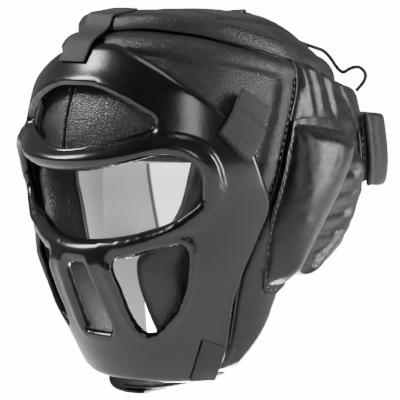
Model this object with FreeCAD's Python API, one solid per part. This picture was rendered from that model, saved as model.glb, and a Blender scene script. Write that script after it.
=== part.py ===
"""Boxing headgear with a clip-on moulded face cage.

Frame: millimetres, +Z up, the face looks along -Y and the wearer's left is +X.
The origin is the middle of the space that the head fills.
Angles are in degrees round the head, 0 at the nose, 90 over an ear, 180 at the nape.
Every soft pad is a leather cover, open towards the head, a foam block inside it and a lining behind it.
"""
import FreeCAD
import Part
import math
import os

V = FreeCAD.Vector

# ---- overall sizes ----
PAD_HALF_WIDTH = 101.0     # widest half width of the padding, over the temples
PAD_FRONT = 119.0          # reach of the forehead padding in front of the origin
PAD_BACK = 150.0           # reach of the rear padding behind the origin
TOP_HEIGHT = 115.0         # top of the crown above the origin
JAW_DROP = 150.0           # lowest edge of the jaw below the origin
CAGE_SIDE_GAP = 8.0        # from the padding's widest place to the outside of the face cage
CAGE_FRONT_GAP = 17.0      # from the forehead padding to the cage's foremost bar
CAGE_HALF_WIDTH = PAD_HALF_WIDTH + CAGE_SIDE_GAP
CAGE_FRONT = PAD_FRONT + CAGE_FRONT_GAP

# ---- thicknesses and clearances ----
PAD_THICKNESS = 27.0       # front, cheek and jaw padding, cover to lining
REAR_THICKNESS = 22.0
CROWN_THICKNESS = 17.0
EAR_BULGE = 15.0           # how far the ear cup stands proud of the padding
EAR_ROOT = 1.8             # gap between the ear cup and the panels under it
LEATHER = 1.6
LINING = 1.8
CAGE_WALL = 4.5
STRAP_THICKNESS = 1.8
PATCH_THICKNESS = 1.0
REAR_STRAP_WIDTH = 54.0
REAR_STRAP_THICKNESS = 5.0
REAR_STRAP_STANDOFF = 21.0
LACE_DIAMETER = 3.0
SEAM = 1.2                 # gap between two neighbouring panels
FIT = 0.5                  # gap between a cover, its foam and its lining
SLOT_FIT = 1.2             # room round a strap in its cage slot
CENTRE_Y = -5.0            # where the widest section of the head lies

EXTRA = 40.0               # how far a cutting tool runs past what it cuts


# ---- numbers into curves ----
def smooth(stations):
    """A smooth curve through (place, value) stations, held level past both ends."""
    xs = [s[0] for s in stations]
    ys = [s[1] for s in stations]
    if xs[0] > xs[-1]:
        xs.reverse()
        ys.reverse()
    slopes = []
    for i in range(len(xs)):
        if i in (0, len(xs) - 1):
            slopes.append(0.0)
            continue
        before = (ys[i] - ys[i - 1]) / (xs[i] - xs[i - 1])
        after = (ys[i + 1] - ys[i]) / (xs[i + 1] - xs[i])
        slopes.append(0.0 if before * after <= 0 else 2 * before * after / (before + after))
    slopes[0] = (ys[1] - ys[0]) / (xs[1] - xs[0])
    slopes[-1] = (ys[-1] - ys[-2]) / (xs[-1] - xs[-2])

    def value(x):
        if x <= xs[0]:
            return ys[0]
        if x >= xs[-1]:
            return ys[-1]
        i = max(k for k in range(len(xs) - 1) if xs[k] <= x)
        width = xs[i + 1] - xs[i]
        t = (x - xs[i]) / width
        return ((1 + 2 * t) * (1 - t) ** 2 * ys[i] + t * (1 - t) ** 2 * width * slopes[i]
                + t * t * (3 - 2 * t) * ys[i + 1] + t * t * (t - 1) * width * slopes[i + 1])
    return value


def height(share):
    """Height of a level: 1 is the top of the crown, -1 the lowest edge of the jaw."""
    return share * (TOP_HEIGHT if share > 0 else JAW_DROP)


def share_of(z):
    return z / (TOP_HEIGHT if z > 0 else JAW_DROP)


# ---- the two surfaces that everything follows ----
# Each row: level, then half width, front reach and back reach as shares of their largest value.
PAD_SECTIONS = [(0.90, 0.72, 0.69, 0.62), (0.83, 0.79, 0.75, 0.71), (0.70, 0.88, 0.83, 0.81),
                (0.52, 0.95, 0.925, 0.90), (0.26, 0.99, 0.99, 0.97), (0.0, 1.00, 1.00, 1.00),
                (-0.2, 0.95, 0.945, 0.97), (-0.4, 0.875, 0.93, 0.88), (-0.65, 0.765, 0.80, 0.70),
                (-0.85, 0.64, 0.66, 0.54), (-1.0, 0.50, 0.54, 0.42)]
pad_width_at = smooth([(r[0], r[1]) for r in PAD_SECTIONS])
pad_front_at = smooth([(r[0], r[2]) for r in PAD_SECTIONS])
pad_back_at = smooth([(r[0], r[3]) for r in PAD_SECTIONS])

CAGE_SECTIONS = [(0.80, 0.76, 0.735), (0.68, 0.86, 0.80), (0.52, 0.935, 0.88), (0.26, 0.985, 0.935),
                 (0.12, 1.0, 1.0), (-0.02, 0.995, 0.976), (-0.08, 0.985, 0.925), (-0.2, 0.955, 0.874),
                 (-0.3, 0.93, 0.869), (-0.38, 0.905, 0.884), (-0.5, 0.855, 0.833), (-0.67, 0.775, 0.736),
                 (-0.87, 0.66, 0.62), (-1.05, 0.50, 0.50)]
cage_width_at = smooth([(r[0], r[1]) for r in CAGE_SECTIONS])
cage_front_at = smooth([(r[0], r[2]) for r in CAGE_SECTIONS])
BACK_SQUARENESS = 2.3      # 2 is a true ellipse, more is fuller between the ear and the nape


def section_point(angle, z, half_width, front, back):
    a = math.radians(angle)
    s, c = math.sin(a), math.cos(a)
    power = 2.0 if c > 0 else BACK_SQUARENESS
    k = (abs(s) ** power + abs(c) ** power) ** (-1.0 / power)
    reach = front + CENTRE_Y if c > 0 else back - CENTRE_Y
    return V(half_width * s * k, CENTRE_Y - reach * c * k, z)


def pad(angle, z, off=0.0):
    """A point on the outside of the padding, or off millimetres outside it."""
    f = share_of(z)
    return section_point(angle, z, PAD_HALF_WIDTH * pad_width_at(f) + off, PAD_FRONT * pad_front_at(f) + off,
                         PAD_BACK * pad_back_at(f) + off)


def cage(angle, z, off=0.0):
    """A point on the outside of the face cage, or off millimetres outside it."""
    f = share_of(z)
    return section_point(angle, z, CAGE_HALF_WIDTH * cage_width_at(f) + off,
                         CAGE_FRONT * cage_front_at(f) + off, CAGE_FRONT)


# ---- solids from surfaces ----
def surface_between(point, us, vs):
    surface = Part.BSplineSurface()
    surface.interpolate([[point(u, v) for v in vs] for u in us])
    return surface


def spread(count):
    return [i / (count - 1.0) for i in range(count)]


def slab(outer, inner, across=13, up=13):
    """A closed solid between two surfaces, each given as a function of two shares from 0 to 1."""
    us, vs = spread(across), spread(up)
    skins = [surface_between(f, us, vs) for f in (outer, inner)]
    faces = [s.toShape() for s in skins]
    rims = []
    for s in skins:
        u0, u1, v0, v1 = s.bounds()
        rims.append([s.uIso(u0), s.uIso(u1), s.vIso(v0), s.vIso(v1)])
    for one, two in zip(*rims):
        faces.append(Part.makeRuledSurface(one.toShape(), two.toShape()))
    block = Part.makeCompound(faces)
    block.sewShape()
    solid = Part.makeSolid(block.Shells[0])
    if solid.Volume < 0:
        solid.reverse()
    return solid


def mirrored(shape):
    return shape.mirror(V(0, 0, 0), V(1, 0, 0))


def blend(a, b, t):
    return a + (b - a) * t


# ---- a padded panel: its four edges round the head ----
class Panel:
    """Front and rear edges are angles by height, bottom and top edges are heights by share across."""

    def __init__(self, front, rear, bottom, top, thickness, proud=None, surface=pad):
        self.front, self.rear, self.bottom, self.top = front, rear, bottom, top
        self.thickness = thickness
        self.proud = proud or (lambda u, v: 0.0)
        self.surface = surface

    def place(self, u, v, inset):
        """Angle and height at a share across and up, drawn in from the edges by inset millimetres."""
        z = blend(self.bottom(u) + inset, self.top(u) - inset, v)
        first, last = self.front(z), self.rear(z)
        radius = self.surface(90.0, z).x
        step = math.degrees(inset / radius)
        return blend(first + step, last - step, u), z

    def skin(self, depth, inset):
        def point(u, v):
            angle, z = self.place(u, v, inset)
            return self.surface(angle, z, self.proud(u, v) - depth)
        return point

    def block(self, from_depth, to_depth, inset):
        return slab(self.skin(from_depth, inset), self.skin(to_depth, inset))

    def cover(self):
        """Leather tray, open on the side towards the head."""
        body = self.block(0.0, self.thickness, SEAM / 2)
        hollow = self.block(LEATHER, self.thickness + EXTRA / 8, SEAM / 2 + LEATHER)
        return body.cut(hollow)

    def foam(self):
        return self.block(LEATHER + FIT, self.thickness, SEAM / 2 + LEATHER + FIT)

    def lining(self):
        return self.block(self.thickness + FIT, self.thickness + FIT + LINING, SEAM / 2)


def level(value):
    return lambda u: value


# Where the panels meet, as angles by height and heights by angle.
side_seam = smooth([(height(0.9), 99), (height(0.6), 95.5), (height(0.28), 88), (height(-0.12), 79),
                    (height(-0.32), 73), (height(-0.6), 70.5), (height(-0.95), 71)])
face_opening = smooth([(height(0.1), 50), (height(-0.13), 44), (height(-0.27), 34), (height(-0.37), 25),
                       (height(-0.6), 27), (height(-0.8), 33)])
jaw_rear = smooth([(height(-0.4), 99), (height(-0.54), 95.5), (height(-0.7), 94), (height(-0.95), 81)])
BROW = height(0.10)
JAW_TOP = height(-0.43)
FOREHEAD_SEAM = -3.5       # the forehead seam lies a little to the wearer's right of the middle
front_top = smooth([(0.0, height(0.86)), (0.2, height(0.88)), (0.5, height(0.85)), (0.75, height(0.78)),
                    (1.0, height(0.69))])
rear_top = smooth([(0.0, height(0.69)), (0.13, height(0.63)), (0.26, height(0.56)), (0.39, height(0.51)),
                   (0.52, height(0.48)), (1.0, height(0.46))])
rear_bottom = smooth([(0.0, height(-0.415)), (0.3, height(-0.42)), (0.6, height(-0.37)),
                      (1.0, height(-0.33))])
REAR_GAP = 9.0             # degrees from the nape to the edge of each rear panel


def front_panel(side):
    """The forehead panel of one side, drawn on the left; the seam is off the middle by opposite amounts."""
    return Panel(level(side * FOREHEAD_SEAM), side_seam, level(BROW), front_top, PAD_THICKNESS)


cheek_panel = Panel(face_opening, side_seam, level(height(-0.80)), level(BROW), PAD_THICKNESS)
jaw_panel = Panel(side_seam, jaw_rear, level(height(-0.93)), level(JAW_TOP), PAD_THICKNESS)
rear_panel = Panel(side_seam, level(180 - REAR_GAP), rear_bottom, rear_top, REAR_THICKNESS)

# ---- ear cup: a crowned pad standing on the side and rear panels ----
ear_front = smooth([(height(0.38), 88), (height(0.1), 84), (height(-0.25), 79), (height(-0.55), 82)])
ear_rear = smooth([(height(0.38), 120), (height(0.1), 113), (height(-0.25), 102), (height(-0.55), 93)])
ear_top = smooth([(0.0, height(0.40)), (1.0, height(0.28))])
EAR_BOTTOM = height(-0.56)


def ear_crown(u, v):
    across = math.sin(math.pi * min(max(u, 0.0), 1.0)) ** 0.5
    up = math.sin(math.pi * min(max(v, 0.0), 1.0)) ** 0.5
    return EAR_ROOT + EAR_BULGE * (0.35 + 0.65 * across * up)


ear_cup = Panel(ear_front, ear_rear, level(EAR_BOTTOM), ear_top, EAR_BULGE, ear_crown)


def ear_solid(depth, inset, root):
    """Crowned outside, and an inside that follows the panels under it at the given gap."""
    def base(u, v):
        angle, z = ear_cup.place(u, v, inset)
        return pad(angle, z, root)
    return slab(ear_cup.skin(depth, inset), base)


# ---- crown pad: a low dome that lies on the top edges of the side panels ----
CROWN_INSET = 7.0          # roll of the side panels left showing round the crown
CROWN_SEAT = 4.0           # gap between the crown and the edges under it
CROWN_EDGE = 4.0           # thickness of the crown at its rim
CROWN_FALL = 2.4           # how late the crown falls away towards its rim
LEDGE = PAD_THICKNESS + 2 * LINING + FIT + 2.0 - CROWN_INSET
CROWN_LINING_DROP = 2.5    # room for the foam's underside over the lining
CROWN_FOAM_INSET = 4.2     # from the cover's rim to the foam
CROWN_FOAM_DEPTH = 2.8     # from the cover's top to the foam, less than CROWN_EDGE


def rim_height(angle):
    """Height of the panel edges under the crown, the same on both sides."""
    angle = abs(angle)
    join = side_seam(height(0.69))
    if angle <= join:
        return front_top(angle / join)
    return rear_top(min(1.0, (angle - join) / (180 - REAR_GAP - join)))


def rim_point(angle):
    """Rim of the crown over the panels, seen from above."""
    return pad(angle, rim_height(angle), -CROWN_INSET)


def disc_place(u, v):
    """Spread a square of shares over a round disc, so that the dome has no pole."""
    p, q = 2 * u - 1, 2 * v - 1
    x, y = p * math.sqrt(1 - q * q / 2), q * math.sqrt(1 - p * p / 2)
    return min(1.0, math.hypot(x, y)), math.degrees(math.atan2(x, -y))


def crown_skin(depth, inset):
    def point(u, v):
        share, angle = disc_place(u, v)
        rim = rim_point(angle)
        shrink = 1 - inset / math.hypot(rim.x, rim.y - CENTRE_Y)
        rise = (1 - share ** CROWN_FALL) * (TOP_HEIGHT - rim.z - CROWN_SEAT - CROWN_EDGE)
        z = rim.z + CROWN_SEAT + CROWN_EDGE + rise - depth
        return V(rim.x * share * shrink, CENTRE_Y + (rim.y - CENTRE_Y) * share * shrink, z)
    return point


def crown_under(depth, inset):
    """Underside: level over the panel edges, then down into the space inside them."""
    def point(u, v):
        share, angle = disc_place(u, v)
        rim = rim_point(angle)
        radius = math.hypot(rim.x, rim.y - CENTRE_Y)
        shrink = 1 - inset / radius
        inner = 1 - LEDGE / radius
        t = min(1.0, share / inner)
        ease = t * t * (3 - 2 * t)
        z = blend(TOP_HEIGHT - CROWN_THICKNESS, rim.z + CROWN_SEAT, ease) - depth
        return V(rim.x * share * shrink, CENTRE_Y + (rim.y - CENTRE_Y) * share * shrink, z)
    return point


def crown_surface(x, y):
    """Height of the crown's outside over a place seen from above."""
    angle = math.degrees(math.atan2(x, -(y - CENTRE_Y)))
    rim = rim_point(angle)
    share = min(1.0, math.hypot(x, y - CENTRE_Y) / math.hypot(rim.x, rim.y - CENTRE_Y))
    rise = (1 - share ** CROWN_FALL) * (TOP_HEIGHT - rim.z - CROWN_SEAT - CROWN_EDGE)
    return rim.z + CROWN_SEAT + CROWN_EDGE + rise


def crown_normal(x, y):
    d = 1.0
    dx = (crown_surface(x + d, y) - crown_surface(x - d, y)) / (2 * d)
    dy = (crown_surface(x, y + d) - crown_surface(x, y - d)) / (2 * d)
    return V(-dx, -dy, 1).normalize()


DOME_GRID = 21


def crown_cover():
    body = slab(crown_skin(0, 0), crown_under(0, 0), DOME_GRID, DOME_GRID)
    hollow = slab(crown_skin(LEATHER, LEATHER), crown_under(EXTRA / 8, LEATHER), DOME_GRID, DOME_GRID)
    return body.cut(hollow)


def crown_foam():
    outside = crown_skin(CROWN_FOAM_DEPTH, CROWN_FOAM_INSET)
    return slab(outside, crown_under(0, CROWN_FOAM_INSET), DOME_GRID, DOME_GRID)


def crown_lining():
    def layer(depth):
        def point(u, v):
            share, angle = disc_place(u, v)
            edge = rim_point(angle)
            radius = math.hypot(edge.x, edge.y - CENTRE_Y)
            inner = (1 - LEDGE / radius) * 0.9
            t = share * 0.9
            ease = t * t * (3 - 2 * t)
            z = blend(TOP_HEIGHT - CROWN_THICKNESS, edge.z + CROWN_SEAT, ease) - depth
            return V(edge.x * share * inner, CENTRE_Y + (edge.y - CENTRE_Y) * share * inner, z)
        return point
    return slab(layer(FIT + CROWN_LINING_DROP), layer(FIT + CROWN_LINING_DROP + LINING), DOME_GRID, DOME_GRID)


# ---- face cage: one moulding ----
CAGE_BOTTOM = height(-0.96)
cage_edge = smooth([(height(0.34), 64), (height(0.185), 70.5), (height(0.006), 74.5), (height(-0.127), 77),
                    (height(-0.25), 74), (height(-0.37), 71), (height(-0.5), 68), (height(-0.62), 66.5),
                    (height(-0.78), 66.5), (height(-0.96), 63.5)])
cage_top = smooth([(0.0, height(0.80)), (0.15, height(0.80)), (0.36, height(0.75)), (0.55, height(0.665)),
                   (0.68, height(0.585)), (0.81, height(0.50)), (0.93, height(0.40)), (1.0, height(0.34))])

# Windows, as angle and level: the right-hand half of each middle window, the whole of a side window.
FOREHEAD_WINDOW = [(0, 0.553), (10, 0.545), (19, 0.497), (25, 0.453), (30, 0.40), (33.5, 0.36), (33.5, 0.315),
                   (25, 0.27), (18, 0.239), (10, 0.21), (0, 0.188)]
EYE_WINDOW = [(0, 0.057), (13, 0.066), (23, 0.097), (31, 0.132), (37, 0.16), (41.5, 0.168), (46, 0.155),
              (50, 0.112), (52.3, 0.05), (52.3, -0.03), (50, -0.095), (44, -0.15), (37, -0.193),
              (30, -0.22), (23, -0.243), (12.5, -0.263), (0, -0.273)]
CHEEK_WINDOW = [(17.7, -0.37), (23, -0.352), (31, -0.325), (38, -0.302), (43.5, -0.285), (46.5, -0.32),
                (47.7, -0.39), (46.7, -0.484), (43.6, -0.571), (38.6, -0.64), (33.7, -0.686),
                (28.8, -0.705), (24.6, -0.689), (21.3, -0.626), (19.5, -0.5)]
MOUTH_TOP, MOUTH_BOTTOM = height(-0.385), height(-0.715)
MOUTH_HALF_TOP, MOUTH_HALF_BOTTOM = 10.5, 14.5
MOUTH_CORNER = 3.0


def cage_skin(depth):
    def point(u, v):
        s = 2 * u - 1
        z = blend(CAGE_BOTTOM, cage_top(abs(s)), v)
        return cage(s * cage_edge(z), z, -depth)
    return point


def drawn_through(face_wire):
    """A cutting tool along the way that the moulding leaves its mould, front to back."""
    face = Part.Face(face_wire)
    return face.extrude(V(0, 2 * CAGE_FRONT, 0))


def front_view(angle, share):
    z = height(share)
    return V(cage(angle, z).x, -CAGE_FRONT - EXTRA, z)


def curved_window(points):
    curve = Part.BSplineCurve()
    curve.interpolate(Points=points, PeriodicFlag=True)
    return drawn_through(Part.Wire([curve.toShape()]))


def middle_window(outline):
    right = [front_view(*p) for p in outline]
    left = [V(-p.x, p.y, p.z) for p in reversed(right[1:-1])]
    return curved_window(right + left)


def mouth_window():
    y = -CAGE_FRONT - EXTRA
    corners = [V(-MOUTH_HALF_TOP, y, MOUTH_TOP), V(MOUTH_HALF_TOP, y, MOUTH_TOP),
               V(MOUTH_HALF_BOTTOM, y, MOUTH_BOTTOM), V(-MOUTH_HALF_BOTTOM, y, MOUTH_BOTTOM)]
    tool = drawn_through(Part.makePolygon(corners + corners[:1]))
    upright = [e for e in tool.Edges if abs(e.Vertexes[0].Point.y - e.Vertexes[1].Point.y) > CAGE_FRONT]
    return tool.makeFillet(MOUTH_CORNER, upright)


# ---- straps: each leaf is a four-cornered patch that leaves the cage by a slot ----
class Strap:
    """Corners as (angle, height): the two slot ends, then the two far corners.

    cage_share says how much of the leaf's length lies on the cage before it steps down to the padding.
    """

    def __init__(self, slot, far, cage_share, lift=0.6):
        self.slot, self.far, self.cage_share, self.lift = slot, far, cage_share, lift

    def place(self, u, v):
        near = [blend(self.slot[0][i], self.slot[1][i], v) for i in (0, 1)]
        away = [blend(self.far[0][i], self.far[1][i], v) for i in (0, 1)]
        return blend(near[0], away[0], u), blend(near[1], away[1], u)

    def skin(self, off):
        """The leaf's path: above the cage first, then above the padding and its patch."""
        def point(u, v):
            angle, z = self.place(u, v)
            t = min(1.0, max(0.0, (u - self.cage_share) / STRAP_STEP))
            step = t * t * (3 - 2 * t)
            on_cage = cage(angle, z, self.lift + off)
            on_pad = pad(angle, z, PATCH_THICKNESS + 2 * FIT + self.lift + off)
            return on_cage + (on_pad - on_cage) * step
        return point

    def leaf(self):
        return slab(self.skin(STRAP_THICKNESS), self.skin(0.0), 11, 5)

    def slot_line(self):
        """The fold that the leaf peels about, just outside its slot."""
        return [cage(*end, off=self.lift + STRAP_THICKNESS + FIT) for end in self.slot]

    def through(self, width_fit, thick_fit, out, inward):
        """A flat tongue along the slot, square to the cage wall."""
        a, b = [cage(*end) for end in self.slot]
        middle = (a + b) * 0.5
        along = (b - a).normalize()
        outward = (middle - cage((self.slot[0][0] + self.slot[1][0]) / 2,
                                 (self.slot[0][1] + self.slot[1][1]) / 2, -CAGE_WALL)).normalize()
        across = along.cross(outward).normalize()
        outward = across.cross(along).normalize()
        half = (b - a).Length / 2 + width_fit
        thick = STRAP_THICKNESS / 2 + thick_fit
        corners = [middle + along * (i * half) + across * (j * thick) + outward * out
                   for i, j in ((-1, -1), (1, -1), (1, 1), (-1, 1))]
        face = Part.Face(Part.makePolygon(corners + corners[:1]))
        return face.extrude(outward * (-out - inward))

    def slot_tool(self):
        return self.through(0.5, SLOT_FIT / 2, EXTRA / 4, CAGE_WALL + EXTRA / 4)

    def tongue(self):
        return self.through(-TONGUE_SHORT, 0.0, self.lift - 2 * FIT - 0.1, CAGE_WALL)

    def patch(self, start, thickness):
        """Loop patch on the padding under the leaf's far end."""
        def layer(off):
            def point(u, v):
                angle, z = self.place(blend(start, 0.97, u), blend(0.06, 0.94, v))
                return pad(angle, z, FIT + off)
            return point
        return slab(layer(thickness), layer(0.0), 5, 5)


TONGUE_SHORT = 1.0         # how much the tongue stops short of each slot end
STRAP_STEP = 0.25          # share of a leaf's length over which it steps down to the padding
side_strap = Strap([(56.0, height(0.272)), (67.3, height(0.083))],
                   [(66.7, height(0.545)), (78.2, height(0.432))], 0.52)
lower_strap = Strap([(53.3, height(-0.725)), (65.0, height(-0.775))],
                    [(47.5, height(-0.95)), (62.5, height(-0.95))], 2.0)


# ---- top strap: up the front of the cage, over the forehead panel and onto the crown ----
TOP_STRAP_WIDTH = 24.0
TOP_STRAP_X = -5.0         # its middle, a little to the wearer's right like the forehead seam
TOP_SLOT = height(0.69)
TOP_STRAP_END = -56.0      # where its free end lies on the crown
TOP_LIFT = 0.8             # how far it stands off the cage
TOP_BRIDGE = 3.0           # how far it stands off the roll under it


def cage_angle(x, z):
    return math.degrees(math.asin(x / cage(90, z).x))


top_slot_ends = [(cage_angle(TOP_STRAP_X + side * TOP_STRAP_WIDTH / 2, TOP_SLOT), TOP_SLOT)
                 for side in (-1, 1)]
top_strap = Strap(top_slot_ends, top_slot_ends, 1.0, TOP_LIFT)


def on_crown(x, y, off):
    return crown_surface(x, y) + PATCH_THICKNESS + 5 * FIT + off


def top_path(off):
    """Stations along the strap's middle line: share of its length, y, z."""
    slot = cage(0, TOP_SLOT, TOP_LIFT + off)
    edge = cage(0, cage_top(0.0), TOP_LIFT + off)
    rim_y = rim_point(0).y
    settle = rim_y + 14.0
    return [(0.0, slot.y, slot.z), (0.24, edge.y + 0.5, edge.z + 1.0),
            (0.5, rim_y - CROWN_INSET + 1.0, rim_height(0) + TOP_BRIDGE + off),
            (0.62, rim_y - 1.0, rim_height(0) + CROWN_SEAT + CROWN_EDGE + TOP_BRIDGE + off),
            (0.78, settle, on_crown(0, settle, off)),
            (1.0, TOP_STRAP_END, on_crown(0, TOP_STRAP_END, off))]


def top_skin(off):
    path = top_path(off)
    along_y = smooth([(p[0], p[1]) for p in path])
    along_z = smooth([(p[0], p[2]) for p in path])

    def point(u, v):
        return V(TOP_STRAP_X + (v - 0.5) * TOP_STRAP_WIDTH, along_y(u), along_z(u))
    return point


def top_patch():
    def layer(off):
        def point(u, v):
            x = TOP_STRAP_X + (v - 0.5) * (TOP_STRAP_WIDTH - 3.0)
            y = blend(TOP_STRAP_END - 12.0, TOP_STRAP_END - 1.0, u)
            return V(x, y, crown_surface(x, y) + 2 * FIT + off)
        return point
    return slab(layer(PATCH_THICKNESS), layer(0.0), 5, 5)


def face_cage():
    body = slab(cage_skin(0.0), cage_skin(CAGE_WALL), 25, 33)
    cheek = curved_window([front_view(*p) for p in CHEEK_WINDOW])
    tools = [middle_window(FOREHEAD_WINDOW), middle_window(EYE_WINDOW), mouth_window()]
    tools += [cheek, mirrored(cheek)]
    for strap in (side_strap, lower_strap):
        tools += [strap.slot_tool(), mirrored(strap.slot_tool())]
    tools.append(top_strap.slot_tool())
    return body.cut(tools)


# ---- rear closing strap ----
REAR_STRAP_MIDDLE = height(0.10)
REAR_STRAP_FIXED = 206.0   # angle of the sewn end, on the wearer's right
REAR_STRAP_FREE = 128.0    # angle of the free end, on the wearer's left
REAR_STRAP_LAP = 5.0       # degrees of each end that lie flat
REAR_STRAP_FULLNESS = 0.6  # how soon the strap bows out: less is sooner


def rear_skin(off):
    def point(u, v):
        angle = blend(REAR_STRAP_FREE, REAR_STRAP_FIXED, u)
        z = REAR_STRAP_MIDDLE + (v - 0.5) * REAR_STRAP_WIDTH
        free = REAR_STRAP_FIXED - REAR_STRAP_FREE - 2 * REAR_STRAP_LAP
        share = min(1.0, max(0.0, (angle - REAR_STRAP_FREE - REAR_STRAP_LAP) / free))
        bow = math.sin(math.pi * share) ** REAR_STRAP_FULLNESS * REAR_STRAP_STANDOFF
        return pad(angle, z, PATCH_THICKNESS + 3 * FIT + bow + off)
    return point


def rear_strap():
    return slab(rear_skin(REAR_STRAP_THICKNESS), rear_skin(0.0), 33, 5)


def rear_patch(start, end):
    def layer(off):
        def point(u, v):
            angle = blend(start, end, u)
            z = REAR_STRAP_MIDDLE + (v - 0.5) * (REAR_STRAP_WIDTH - 6.0)
            return pad(angle, z, FIT + off)
        return point
    return slab(layer(PATCH_THICKNESS), layer(0.0), 5, 5)


# ---- chin strap, under the jaw ----
CHIN_STRAP_WIDTH = 26.0
CHIN_STRAP_THICKNESS = 3.0
CHIN_CENTRE_Y = -55.0
CHIN_DROP = 8.0            # how far its middle hangs under the jaw pads
CHIN_ROOT_Y = -24.0
CHIN_LAP = 0.32            # share of the half span where the two straps overlap


def chin_place(x_share, depth):
    """Middle line of the strap from the left jaw (1) to the right jaw (-1)."""
    root = pad(75, height(-0.90)).x - PAD_THICKNESS / 2
    bow = 1 - x_share * x_share
    z = height(-0.93) - 1.0 - CHIN_DROP * bow ** 0.7
    y = blend(CHIN_ROOT_Y, CHIN_CENTRE_Y, bow)
    return V(root * x_share, y, z - depth)


def chin_piece(start, end, depth):
    def layer(extra):
        def point(u, v):
            middle = chin_place(blend(start, end, u), depth + extra)
            return middle + V(0, (v - 0.5) * CHIN_STRAP_WIDTH, 0)
        return point
    return slab(layer(0.0), layer(CHIN_STRAP_THICKNESS), 11, 3)


# ---- crown lace: one cord through two rows of eyelets, ending in a loop at the left rear ----
EYELET_HALF_GAP = 15.0
EYELET_PLACES = [44.0, 60.0, 76.0, 92.0]
EYELET_OUTER, EYELET_INNER, EYELET_HEIGHT = 5.0, 2.4, 1.2
LACE_LIFT = LACE_DIAMETER / 2 + EYELET_HEIGHT + 1.0


def eyelet_places():
    return [(side * EYELET_HALF_GAP, y) for y in EYELET_PLACES for side in (-1, 1)]


def eyelet(x, y):
    axis = crown_normal(x, y)
    foot = V(x, y, crown_surface(x, y)) + axis * FIT
    ring = Part.makeCylinder(EYELET_OUTER, EYELET_HEIGHT, foot, axis)
    return ring.cut(Part.makeCylinder(EYELET_INNER, 3 * EYELET_HEIGHT, foot - axis * EYELET_HEIGHT, axis))


def lace_route():
    """Zigzag over the crown, then along its left rim to the loop that stands out at the rear."""
    points = []
    for i, y in enumerate(EYELET_PLACES):
        side = -1 if i % 2 == 0 else 1
        for reach in (-side, side):
            x, along = reach * (EYELET_HALF_GAP + 1.0), y + (-3.0 if reach == -side else 3.0)
            points.append(V(x, along, crown_surface(x, along)) + crown_normal(x, along) * LACE_LIFT)
    for x, y in ((28.0, 103.0), (41.0, 102.0)):
        points.append(V(x, y, crown_surface(x, y)) + crown_normal(x, y) * (LACE_LIFT + 2.0))
    points += [V(*p) for p in LACE_LOOP]
    return points


# The loop's points: out over the rear panel, round and back to its edge.
LACE_LOOP = [(50.0, 112.0, 65.0), (57.0, 114.0, 70.5), (65.5, 116.0, 71.5), (70.5, 118.0, 62.5),
             (62.8, 113.2, 53.5)]


def rounded_path(points, share=0.45):
    """Straight runs joined by tangent arcs as large as the runs allow."""
    edges, radii, start = [], [], points[0]
    for before, here, after in zip(points, points[1:], points[2:]):
        into, out = here - before, after - here
        turn = into.getAngle(out)
        setback = share * min(into.Length, out.Length)
        radii.append(setback / math.tan(turn / 2))
        a = here - into.normalize() * setback
        b = here + out.normalize() * setback
        bisector = ((a + b) * 0.5 - here).normalize()
        centre_distance = radii[-1] / math.cos(turn / 2)
        middle = here + bisector * (centre_distance - radii[-1])
        edges.append(Part.LineSegment(start, a).toShape())
        edges.append(Part.Arc(a, middle, b).toShape())
        start = b
    edges.append(Part.LineSegment(start, points[-1]).toShape())
    return Part.Wire(edges), radii


def tube(points, diameter):
    path, radii = rounded_path(points)
    start = (points[1] - points[0]).normalize()
    profile = Part.Wire([Part.Circle(points[0], start, diameter / 2).toShape()])
    solid = path.makePipeShell([profile], True, False)
    expected = path.Length * math.pi * diameter ** 2 / 4
    print("cord length %.1f, tightest radius %.1f, volume off by %.2f %%"
          % (path.Length, min(radii), 100 * (solid.Volume / expected - 1)))
    return solid


# ---- everything, by name ----
def both(name, left):
    return {name + "_left": left, name + "_right": mirrored(left)}


def forehead_pieces():
    pieces = {}
    for side, name in ((1, "left"), (-1, "right")):
        panel = front_panel(side)
        for kind, make in (("cover", panel.cover), ("foam", panel.foam), ("lining", panel.lining)):
            shape = make()
            pieces["front_%s_%s" % (kind, name)] = shape if side > 0 else mirrored(shape)
    return pieces


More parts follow.
